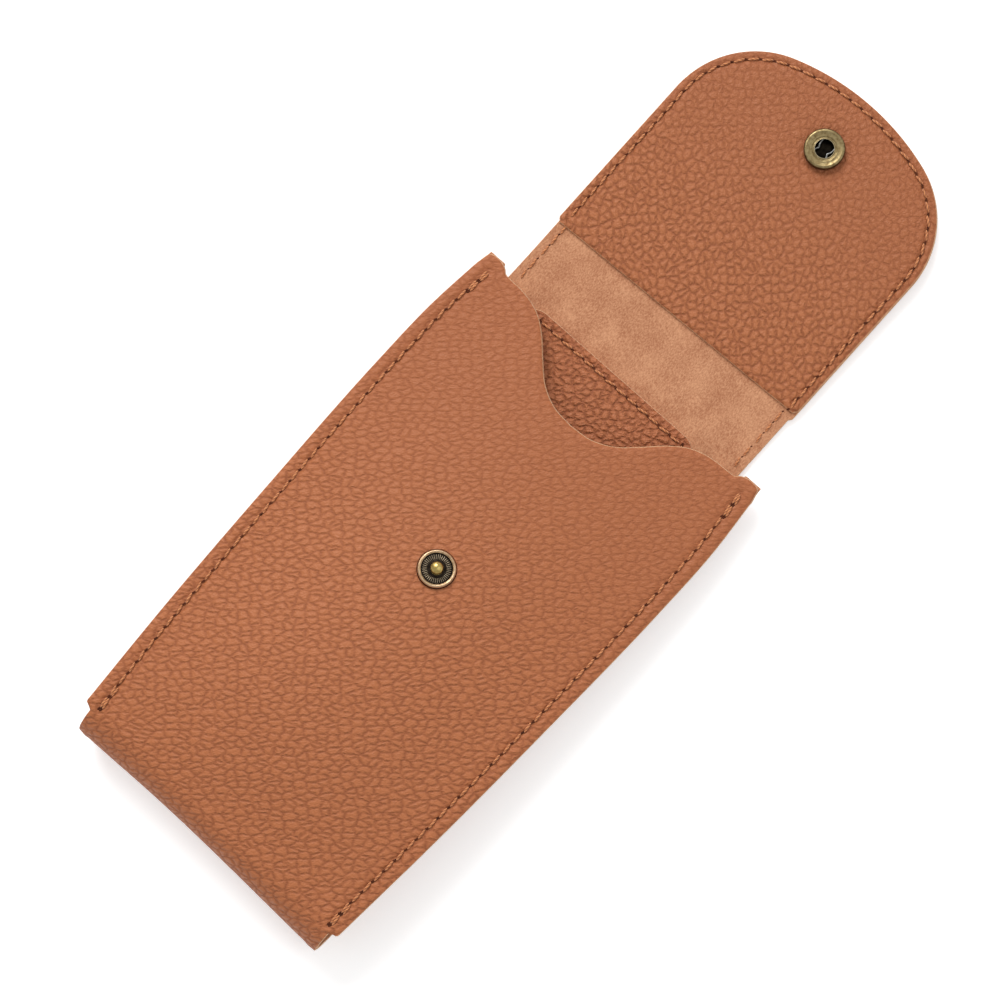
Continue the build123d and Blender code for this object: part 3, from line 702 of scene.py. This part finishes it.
# %% Thread of the card
r = 2.7
half_w, half_l = CARD_W / 2 - FLAP_INSET - r, CARD_L / 2 - FLAP_INSET - r
q = (np.linspace(0, np.pi / 2, 12) + np.arange(4)[:, None] * np.pi / 2).ravel()
corner = np.repeat([(half_w, half_l), (-half_w, half_l), (-half_w, -half_l), (half_w, -half_l)],
                   12, axis=0)
loop = corner + r * np.stack([np.cos(q), np.sin(q)], -1)
loop = np.concatenate([loop, loop[:1]])
for name, z, up, seed in (("card_thread", CARD_TOP - 0.06, 1, 70),
                          ("card_thread_under", CARD_Z + 0.1, -1, 71)):
    row = np.concatenate([loop + np.array(CARD_C), np.full((len(loop), 1), z)], 1)
    piece = stitch_row(name, row, (0, 0, up), seed=seed)
    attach(piece, "insert")
    if up > 0:
        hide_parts("insert_seam")

# %% [markdown]
# ## The line snap
#
# A line snap has four turned parts. On the front sits the stud: a rolled brass collar round a
# dark disc with fine radial ribs, and a ball on a short neck. In the flap sits the socket, with
# two bent spring wires that grip the ball's neck, and outside a domed cap. They are profiles
# turned round the snap's axis; the ribs are forty small spindles laid on the disc.


# %% Turned parts and wires
def close_up(piece):
    """Merge doubled points and turn all faces outwards."""
    mesh = bmesh.new()
    mesh.from_mesh(piece.data)
    bmesh.ops.remove_doubles(mesh, verts=mesh.verts, dist=1e-7)
    bmesh.ops.recalc_face_normals(mesh, faces=mesh.faces)
    mesh.to_mesh(piece.data)
    mesh.free()


def circled(radius, side, other, count):
    """Circles of the given radius, a column: radius (side cos a + other sin a)."""
    a = np.linspace(0, 2 * np.pi, count, endpoint=False)[None, :, None]
    return radius * (np.cos(a) * side + np.sin(a) * other)


def turned(name, profile, centre, axis, segments=96, closed=False, tone=None):
    """Surface of revolution: each profile point (radius, height) carried round the axis.
    tone(radius, height) gives the finish slot of each band between two points."""
    axis = np.asarray(axis, float) / np.linalg.norm(axis)
    side = np.array([1.0, 0, 0])
    other = np.cross(axis, side)
    profile = np.asarray(profile, float)
    if closed:
        profile = np.concatenate([profile, profile[:1]])
    r, h = profile[:, :1, None], profile[:, 1:, None]
    points = np.asarray(centre) + circled(r, side, other, segments) + h * axis
    rows = len(profile) - 1 if closed else len(profile)
    index = ring_index(rows, segments)
    if closed:
        index = np.concatenate([index, index[:1]])
    middle = (profile[:-1] + profile[1:]) / 2
    slots = np.zeros(len(middle)) if tone is None else tone(middle[:, 0], middle[:, 1])
    piece = make_mesh(name, points[:rows].reshape(-1, 3), grid_faces(index),
                      np.repeat(slots, segments))
    if not closed:
        close_up(piece)
    print(name, len(piece.data.polygons), "faces")
    return piece


def bow(a, b, bulge, count=6):
    """Points from a to b on a parabola that bulges to the left by the given amount."""
    a, b = np.asarray(a, float), np.asarray(b, float)
    t = np.linspace(0, 1, count)[:, None]
    d = b - a
    n = np.array([-d[1], d[0]]) / max(np.hypot(*d), 1e-9)
    return a + d * t + n * bulge * 4 * t * (1 - t)


def wire(name, path, radius, around=10):
    """Round wire: circles of the given radius carried along a path, square to it."""
    path = np.asarray(path, float)
    ahead = np.gradient(path, axis=0)
    ahead /= np.linalg.norm(ahead, axis=1, keepdims=True)
    side = np.cross(ahead, flap_up)
    side /= np.linalg.norm(side, axis=1, keepdims=True)
    up = np.cross(side, ahead)
    r = np.full((len(path), 1, 1), radius)
    r[[0, -1]] = 0.0
    points = path[:, None] + circled(r, side[:, None], up[:, None], around)
    piece = make_mesh(name, points.reshape(-1, 3), grid_faces(ring_index(len(path), around)))
    close_up(piece)
    print(name, len(piece.data.polygons), "faces")
    return piece


# %% Stud on the front
stud_axis = np.array([0, np.sin(CLOSED), np.cos(CLOSED)])
stud_at = np.array([0, *STUD_AT])
collar = np.concatenate([[(2.6, 0.22), (3.95, 0.22)], bow((3.95, 0.25), (4.0, 0.62), 0.0, 3),
                         bow((4.0, 0.62), (4.8, 0.5), 0.30, 9),
                         [(4.83, 0.4), (5.0, 0.22), (5.0, -0.1), (2.6, -0.1)]])
# Painted shade: the collar's foot, where it meets the leather, and its inner wall are dark.
stud_collar = turned("stud_collar_brass", collar[::-1], stud_at, stud_axis, closed=True,
                     tone=lambda r, h: ((r > 4.82) & (h < 0.45)) | (r < 4.05))
plate = [(0.0, 0.22), (3.9, 0.22), (3.9, 0.3), (3.7, 0.34), (2.0, 0.34), (1.7, 0.42), (0.0, 0.42)]
stud_disc = turned("stud_ribbed_disc", plate, stud_at, stud_axis)
RIBS = 40
lead = circled(1.0, np.array([1.0, 0, 0]), np.cross(stud_axis, [1.0, 0, 0]), RIBS)[0]
verts, faces, lay = spindles(stud_at + 3.0 * lead + 0.38 * stud_axis, lead,
                             np.cross(stud_axis, lead), np.broadcast_to(stud_axis, lead.shape),
                             1.4, 0.19, 1.4, 0.0, np.ones((RIBS, 1, 1)))
stud_ribs = make_mesh("stud_ribs", verts, faces, uv=lay)
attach(stud_ribs, "case")
a = np.linspace(0, np.pi * 0.72, 15)
ball = np.concatenate([np.stack([1.66 * np.sin(a), 1.2 + 1.3 * np.cos(a)], -1),
                       [(1.15, 0.55), (1.6, 0.45), (1.6, 0.3), (0.0, 0.3)]])
stud_ball = turned("stud_ball_brass", ball[::-1], stud_at, stud_axis, 64)
for piece, solid in ((stud_collar, "stud_collar"), (stud_disc, "stud_disc"),
                     (stud_ball, "stud_ball")):
    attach(piece, "case")
    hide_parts(solid)

# %% Socket and cap in the flap
socket_at = on_flap(np.array(0.0), np.array(SOCKET_AT), SKIN / 2 + LINING)
wall = np.concatenate([[(1.0, 0.0), (5.0, 0.0)], bow((5.2, 0.25), (5.22, 1.55), 0.0, 4),
                       bow((5.2, 1.6), (4.4, 2.0), -0.16, 8), [(4.2, 1.93), (3.4, 1.86)],
                       bow((3.25, 1.88), (2.5, 1.95), 0.28, 9),
                       [(2.46, 1.6), (2.5, 1.5), (4.2, 1.5), (4.2, 0.35), (1.0, 0.35)]])
# Painted shade: the outer wall is brown. Painted highlight: the lip round the hole is bright.
socket = turned("snap_socket_brass", wall, socket_at, flap_up, closed=True,
                tone=lambda r, h: np.where(r > 5.05, 1, 2 * ((r < 3.0) & (h > 1.7))))
cap_at = on_flap(np.array(0.0), np.array(SOCKET_AT), -SKIN / 2)
CAP_R = 6.25
reach = CAP_R * np.sin(np.linspace(0, 1, 14) * np.pi / 2)
dome = np.stack([reach, -0.45 - 1.85 * (1 - (reach / CAP_R) ** 2)], -1)
dome = np.concatenate([dome, [(6.3, -0.3), (6.1, -0.02), (0.0, -0.02)]])
cap = turned("snap_cap_brass", dome[::-1], cap_at, flap_up)
for piece, solid in ((socket, "snap_socket"), (cap, "snap_cap")):
    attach(piece, "flap")
    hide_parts(solid)

# %% Springs, and the socket's floor in painted shade
for side, word in ((-1, "left"), (1, "right")):
    t = np.linspace(0, 1, 24)
    bend_x = side * (1.95 - 0.55 * np.exp(-((t - 0.42) / 0.16) ** 2))
    line_y = -2.3 + 4.2 * t
    hook = np.linspace(0, np.pi, 14)[1:]
    xs = np.concatenate([[bend_x[0]], bend_x, side * (2.5 - 0.55 * np.cos(hook))])
    ys = np.concatenate([[line_y[0] - 0.05], line_y, 1.9 + 0.55 * np.sin(hook)])
    xs, ys = np.append(xs, xs[-1]), np.append(ys, ys[-1] - 0.6)
    line = on_flap(xs, SOCKET_AT + ys, SKIN / 2 + LINING + 1.05)
    spring = wire("socket_spring_" + word, line, 0.24)
    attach(spring, "flap")
    if side > 0:
        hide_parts("socket_springs")
# The floor under the springs is near black: painted shade deep in the hole.
floor_profile = [(0.0, 0.4), (4.1, 0.4), (4.1, 0.5), (1.2, 0.55), (0.0, 0.5)]
socket_floor_shade = turned("socket_floor_painted_shade", floor_profile, socket_at, flap_up, 48)
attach(socket_floor_shade, "flap")

# %% [markdown]
# ## Finishes
#
# All finishes are built from nodes. A few helpers keep the wiring short: one adds a node, sets
# its fixed values and links the rest, and the others give the kinds that come up often.


# %% Node helpers
def node(tree, kind, links=None, **values):
    """Add a node, set attributes, fill input sockets by name or number, link the given outputs."""
    made = tree.nodes.new(kind)
    for key, value in values.items():
        setattr(made, key, value)
    for key, value in (links or {}).items():
        if isinstance(value, bpy.types.NodeSocket):
            tree.links.new(value, made.inputs[key])
        else:
            made.inputs[key].default_value = value
    return made


def noise(tree, place, scale, detail, rough=0.5, out="Fac"):
    """Noise with scale waves per metre; its Fac runs from 0 to 1."""
    levels = {"Vector": place, "Scale": scale, "Detail": detail, "Roughness": rough}
    return node(tree, "ShaderNodeTexNoise", levels).outputs[out]


def mapped(tree, source, low, high, start=0.0, end=1.0, kind="LINEAR"):
    """A value carried from low..high to start..end, held at both ends."""
    return node(tree, "ShaderNodeMapRange", {0: source, 1: low, 2: high, 3: start, 4: end},
                interpolation_type=kind).outputs[0]


def reckon(tree, kind, a, b, c=0.0):
    """Arithmetic on up to three numbers, such as a b + c for MULTIPLY_ADD."""
    return node(tree, "ShaderNodeMath", {0: a, 1: b, 2: c}, operation=kind).outputs[0]


def mixed(tree, amount, first, second):
    """Colour between two colours."""
    return node(tree, "ShaderNodeMix", {0: amount, 6: first, 7: second},
                data_type="RGBA").outputs[2]


def cover(tree, shader, colour, height, strength, distance):
    """Link a colour, and a height that is distance metres deep as a bump."""
    bump = node(tree, "ShaderNodeBump", {"Height": height, "Strength": strength,
                                         "Distance": distance})
    tree.links.new(colour, shader.inputs["Base Color"])
    tree.links.new(bump.outputs[0], shader.inputs["Normal"])


def linear(colour):
    """sRGB bytes to linear colour with alpha: ((c + 0.055) / 1.055)^2.4 above the toe."""
    c = np.array(colour) / 255.0
    c = np.where(c <= 0.04045, c / 12.92, ((c + 0.055) / 1.055) ** 2.4)
    return (*[float(v) for v in c], 1.0)


def start_material(name, levels):
    """A new material with the shader's fixed levels set; also its node tree and shader."""
    material = bpy.data.materials.new(name)
    material.use_nodes = True
    tree = material.node_tree
    shader = tree.nodes["Principled BSDF"]
    for key, value in levels.items():
        shader.inputs[key].default_value = value
    print("finish", name)
    return material, tree, shader


# %% [markdown]
# ### Pebbled leather
#
# Creases of tumbled leather form a net. A Voronoi texture's distance to the cell edge is that
# net: 0 on a crease, large on a pebble. It lies on the unrolled hide, which is the panel's UV
# map in metres, so pebbles keep their size round the fold. The net is turned and stretched,
# because the hide was pulled in one direction, and pushed about by two noises, so no cell looks
# drawn. From that one field come a round cushion (a wide smooth step), a crease (a narrow one)
# and their colours: painted shade darkens each crease and, more weakly, each cushion's sides.
# A noise breaks the creases up, and the grain gets fainter along the case. A finer net adds
# wrinkles on the cushions, and a noise adds pores.


# %% Pebbled leather
def pebbled(name, base, crease_shade_tone, size, stretch, turn, depth, dark, ease):
    """Leather finish: size of a pebble in mm, turn in degrees, depth in metres.
    crease_shade_tone and dark are the colour and strength of the painted shade in the creases.
    ease = (from, to, low): along y in metres the grain fades from full to the low part."""
    material, tree, shader = start_material(name, {"Specular IOR Level": 0.34})
    base = linear(base)
    spots = node(tree, "ShaderNodeTexCoord").outputs
    place, whole = spots["UV"], spots["Object"]

    def vectors(kind, a, links):
        return node(tree, "ShaderNodeVectorMath", {0: a, **links}, operation=kind).outputs[0]

    def pushed(source, scale, amount):
        centred = vectors("SUBTRACT", noise(tree, place, scale, 2.0, out="Color"), {1: (0.5,) * 3})
        return vectors("ADD", source, {1: vectors("SCALE", centred, {3: amount})})

    def smooth_step(source, low, high, start=0.0, end=1.0):
        return mapped(tree, source, low, high, start, end, "SMOOTHSTEP")

    def times(a, b, c=0.0):
        return reckon(tree, "MULTIPLY_ADD", a, b, c)

    def net(scale, loose):
        return node(tree, "ShaderNodeTexVoronoi", {"Vector": laid, "Scale": scale / size,
                                                   "Randomness": loose},
                    feature="DISTANCE_TO_EDGE", voronoi_dimensions="2D").outputs["Distance"]

    moved = pushed(pushed(place, 240.0, 0.0009), 800.0, 0.0006)
    laid = node(tree, "ShaderNodeMapping",
                {"Vector": moved, "Rotation": (0, 0, float(np.radians(turn))),
                 "Scale": (stretch, 1.0, 1.0)}, vector_type="TEXTURE").outputs[0]
    coarse, fine = net(1000.0, 0.9), net(2300.0, 1.0)
    pores = noise(tree, place, 2400.0, 3.0, 0.6)
    patches = noise(tree, whole, 120.0, 3.0, 0.55)
    broken = noise(tree, place, 650.0, 1.0)
    along_y = node(tree, "ShaderNodeSeparateXYZ", {"Vector": whole}).outputs["Y"]
    fading = smooth_step(along_y, ease[0], ease[1], 1.0, ease[2])
    strength = times(smooth_step(broken, 0.32, 0.62, 0.55, 1.0), fading)
    cushion = smooth_step(coarse, 0.0, 0.36)
    valley = times(times(cushion, -1.0, 1.0), strength)
    wrinkle = smooth_step(fine, 0.0, 0.3)
    height = times(wrinkle, 0.2, times(pores, 0.15, times(valley, -1.0, 1.0)))
    lighter = tuple(min(1.0, c * 1.006) for c in base[:3]) + (1.0,)
    darker = tuple(c * 0.994 for c in base[:3]) + (1.0,)
    body = mixed(tree, smooth_step(patches, 0.3, 0.7), darker, lighter)
    line = smooth_step(coarse, 0.0, 0.2, 1.0, 0.0)
    # Painted shade in creases and valleys; where the grain fades, part of it is spread evenly.
    crease_shade = times(times(line, strength), 0.45 * dark, times(valley, 0.2 * dark))
    crease_shade = times(times(fading, -1.0, 1.0), 0.36, crease_shade)
    cover(tree, shader, mixed(tree, crease_shade, body, linear(crease_shade_tone)), height, 1.0, depth)
    tree.links.new(smooth_step(cushion, 0.0, 1.0, 0.66, 0.50), shader.inputs["Roughness"])
    return material


# The crease colour below is painted shade.
TAN_CREASE_SHADE = (116, 56, 30)
front_leather = pebbled("front_leather", (179, 107, 65), TAN_CREASE_SHADE, 1.6, 1.8, -43,
                        depth=0.00025, dark=0.8, ease=(-0.01, 0.06, 0.5))
lining_leather = pebbled("lining_leather", (175, 105, 64), TAN_CREASE_SHADE, 1.9, 1.2, 133,
                         depth=0.00032, dark=0.85, ease=(0.11, 0.16, 0.5))
card_leather = pebbled("card_leather", (176, 105, 66), TAN_CREASE_SHADE, 1.8, 1.3, 43,
                       depth=0.00042, dark=0.9, ease=(0.10, 0.165, 0.7))

# %% [markdown]
# ### Flesh side, cut edge and thread
#
# The flesh side is suede: short fibres that scatter light, so it is rough, pale and mottled,
# with some sheen. The cut edge is the pale core of the hide with fibres showing. The thread is
# twisted, which a slanted wave along each stitch shows.


# %% Suede, cut edge, thread
def fibrous(name, base, dark, scale, depth, sheen):
    """Suede or raw edge: two noises mix a light and a dark tone and raise the fibres."""
    material, tree, shader = start_material(
        name, {"Roughness": 0.92, "Specular IOR Level": 0.2, "Sheen Weight": sheen})
    place = node(tree, "ShaderNodeTexCoord").outputs["Object"]
    stretched = node(tree, "ShaderNodeMapping", {"Vector": place, "Scale": (1.0, 0.6, 1.0),
                                                 "Rotation": (0, 0, 0.4)}).outputs[0]
    fibres = noise(tree, stretched, scale, 5.0, 0.7)
    both = reckon(tree, "MULTIPLY_ADD", noise(tree, place, 160.0, 3.0), 0.35, fibres)
    colour = mixed(tree, mapped(tree, both, 0.52, 0.85), linear(dark), linear(base))
    cover(tree, shader, colour, fibres, 0.5, depth)
    return material


def twisted(name, base, dark):
    """Thread: a wave on the stitch's own length and girth, slanted, for the twist of its plies."""
    material, tree, shader = start_material(name, {"Roughness": 0.7, "Sheen Weight": 0.2})
    lay = node(tree, "ShaderNodeTexCoord").outputs["UV"]
    slant = node(tree, "ShaderNodeMapping", {"Vector": lay, "Rotation": (0, 0, 0.9)}).outputs[0]
    ply = node(tree, "ShaderNodeTexWave", {"Vector": slant, "Scale": 420.0, "Distortion": 0.6,
                                           "Detail": 1.0}).outputs["Fac"]
    cover(tree, shader, mixed(tree, ply, linear(dark), linear(base)), ply, 0.6, 0.00015)
    return material


suede = fibrous("suede", (212, 156, 118), (166, 108, 76), 2800.0, 0.00022, 0.15)
cut_edge = fibrous("cut_edge", (226, 182, 140), (186, 132, 92), 1800.0, 0.0002, 0.1)
thread = twisted("waxed_thread", (218, 142, 86), (156, 90, 50))
# Painted shade for the stitch holes.
hole_shade = fibrous("stitch_hole_shade", (96, 46, 24), (64, 30, 16), 1500.0, 0.0001, 0.0)
board = fibrous("card_board_grey", (170, 150, 125), (140, 120, 98), 900.0, 0.0001, 0.0)

# %% [markdown]
# ### Antique brass
#
# The snap is brass that was darkened and then polished again, so the raised places shine and
# the deep ones stay brown. A noise mixes both tones and their roughness.


# %% Brass and steel
def antique(name, bright, dark, low, high, rough=(0.28, 0.5)):
    """Metal with patina: a noise between two limits mixes the bright and the dark tone."""
    material, tree, shader = start_material(name, {"Metallic": 1.0})
    place = node(tree, "ShaderNodeTexCoord").outputs["Object"]
    polished = mapped(tree, noise(tree, place, 900.0, 4.0, 0.65), low, high)
    scratch = noise(tree, place, 5200.0, 2.0)
    cover(tree, shader, mixed(tree, polished, linear(dark), linear(bright)), scratch, 0.12, 0.00003)
    tree.links.new(mapped(tree, polished, 0.0, 1.0, rough[1], rough[0]), shader.inputs["Roughness"])
    return material


brass_rib = antique("brass_rib", (192, 176, 148), (140, 124, 102), 0.35, 0.65, (0.35, 0.5))
brass_ring = antique("brass_ring", (216, 186, 150), (160, 128, 94), 0.3, 0.62)
brass_ball = antique("brass_ball", (206, 182, 112), (150, 122, 66), 0.25, 0.6, (0.22, 0.4))
# Dark brass of the disc and washer, also painted shade on the collar's foot and inner wall.
brass_dark_and_painted_shade = antique("brass_dark_and_painted_shade", (50, 42, 36), (28, 23, 19), 0.35, 0.65, (0.4, 0.6))
brass_socket = antique("brass_socket", (172, 154, 112), (104, 84, 52), 0.3, 0.7)
# Painted shade for the socket's outer wall, and painted highlight for its lip.
brass_painted_shade = antique("brass_painted_shade", (112, 88, 54), (66, 48, 28), 0.3, 0.7)
brass_painted_highlight = antique("brass_painted_highlight", (222, 208, 172), (176, 158, 120), 0.3, 0.7)
# Painted shade for the socket's floor.
brass_painted_deep_shade = antique("brass_painted_deep_shade", (30, 26, 20), (16, 13, 10), 0.35, 0.65, (0.5, 0.7))
spring_steel = antique("spring_steel", (168, 168, 164), (100, 100, 98), 0.3, 0.7, (0.3, 0.45))

# %% [markdown]
# Each new piece gets its finishes: grain, flesh and cut edge on a panel, one finish on the rest.

# %% Put the finishes on
def dress(piece, slot, *materials):
    """Fill the piece's material slots in order. The slot argument is not used."""
    for material in materials:
        piece.data.materials.append(material)


for piece in (shell_front, shell_back, flap_skin):
    dress(piece, "shell_leather", front_leather, suede, cut_edge)
dress(flap_lining, "lining_leather", lining_leather, suede, cut_edge)
for piece in (gusset_left, gusset_right):
    dress(piece, "gusset_leather", suede, lining_leather, cut_edge)
for piece in (card_face_top, card_face_low):
    dress(piece, "lining_leather", card_leather, suede, cut_edge)
for piece in bpy.context.scene.objects:
    if "thread" in piece.name:
        dress(piece, "thread", thread, hole_shade)
dress(stud_collar, "snap_brass", brass_ring, brass_dark_and_painted_shade)
dress(stud_ball, "snap_brass", brass_ball)
dress(stud_disc, "snap_dark_brass", brass_dark_and_painted_shade)
dress(stud_ribs, "snap_dark_brass", brass_rib)
dress(socket, "snap_dark_brass", brass_socket, brass_painted_shade, brass_painted_highlight)
dress(cap, "snap_brass", brass_socket)
dress(socket_floor_shade, "snap_dark_brass", brass_painted_deep_shade)
for piece in bpy.context.scene.objects:
    if piece.name.startswith("socket_spring_"):
        dress(piece, "spring_steel", spring_steel)
for name, material in (("stud_washer", brass_dark_and_painted_shade), ("insert_board", board)):
    held = frame["nodes"][name]
    held.data.materials.clear()
    held.data.materials.append(material)

# %% [markdown]
# ## Floor, light and camera
#
# The case lies on a white table under a soft studio light from the upper left, with a weak fill
# from the right. The camera looks almost straight down, turned so that the case points to the
# upper right of the picture. The table glows a little where the camera, metal or glass sees it,
# so it is white in the picture without more light on the case.

# %% Floor and world
bpy.ops.mesh.primitive_plane_add(size=6, location=(0, 0, -0.0002))
floor = bpy.context.object
floor.name = "table"
table_white, tree, shader = start_material(
    "table_white", {"Base Color": (0.96, 0.96, 0.96, 1), "Roughness": 0.9,
                    "Specular IOR Level": 0.1, "Emission Color": (1, 1, 1, 1)})
path = node(tree, "ShaderNodeLightPath").outputs
seen = reckon(tree, "MAXIMUM", path["Is Camera Ray"], path["Is Glossy Ray"])
seen = reckon(tree, "MAXIMUM", seen, path["Is Transmission Ray"])
glow = reckon(tree, "MULTIPLY", seen, 0.36)
tree.links.new(glow, shader.inputs["Emission Strength"])
floor.data.materials.append(table_white)

world = bpy.data.worlds.new("studio")
bpy.context.scene.world = world
world.use_nodes = True
sky = world.node_tree.nodes["Background"]
sky.inputs["Color"].default_value = (1, 1, 1, 1)
sky.inputs["Strength"].default_value = 0.62


def lamp(name, where, aim, size, power):
    """Square soft box at a place in metres, turned towards the aim."""
    light = bpy.data.lights.new(name, "AREA")
    light.size, light.energy = size, power
    held = bpy.data.objects.new(name, light)
    held.location = where
    held.rotation_euler = (Vector(aim) - Vector(where)).to_track_quat("-Z", "Y").to_euler()
    bpy.context.scene.collection.objects.link(held)
    print("lamp", name, power, "W")


lamp("key", (-0.8, 0.55, 0.85), (0, 0.04, 0), 0.7, 11.0)
lamp("fill", (0.6, 0.5, 1.0), (0, 0.04, 0), 1.0, 1.6)

# %% Camera
tilt, azimuth, roll = np.radians(7.547), np.radians(-17.43), np.radians(-0.718)
distance, focal = 0.600, 2378.8  # metres, and pixels of a picture 1000 wide
aim = np.array([-0.0019, 0.035451, 0.0])
back = np.array([np.sin(tilt) * np.cos(azimuth), np.sin(tilt) * np.sin(azimuth), np.cos(tilt)])
right = np.cross(-back, np.array([-0.682, 0.7314, 0.0]))
right /= np.linalg.norm(right)
up = np.cross(back, right)
right, up = right * np.cos(roll) + up * np.sin(roll), up * np.cos(roll) - right * np.sin(roll)
camera = bpy.data.objects.new("camera", bpy.data.cameras.new("camera"))
rows = np.column_stack([right, up, back, aim + back * distance]).tolist()
camera.matrix_world = Matrix([*rows, [0, 0, 0, 1]])
camera.data.sensor_width = 36.0
camera.data.lens = focal / 1000 * 36.0
print("camera", round(camera.data.lens, 1), "mm lens at", distance, "m")
camera.data.clip_start = 0.01
bpy.context.scene.collection.objects.link(camera)
bpy.context.scene.camera = camera
bpy.context.scene.view_settings.view_transform = "Standard"
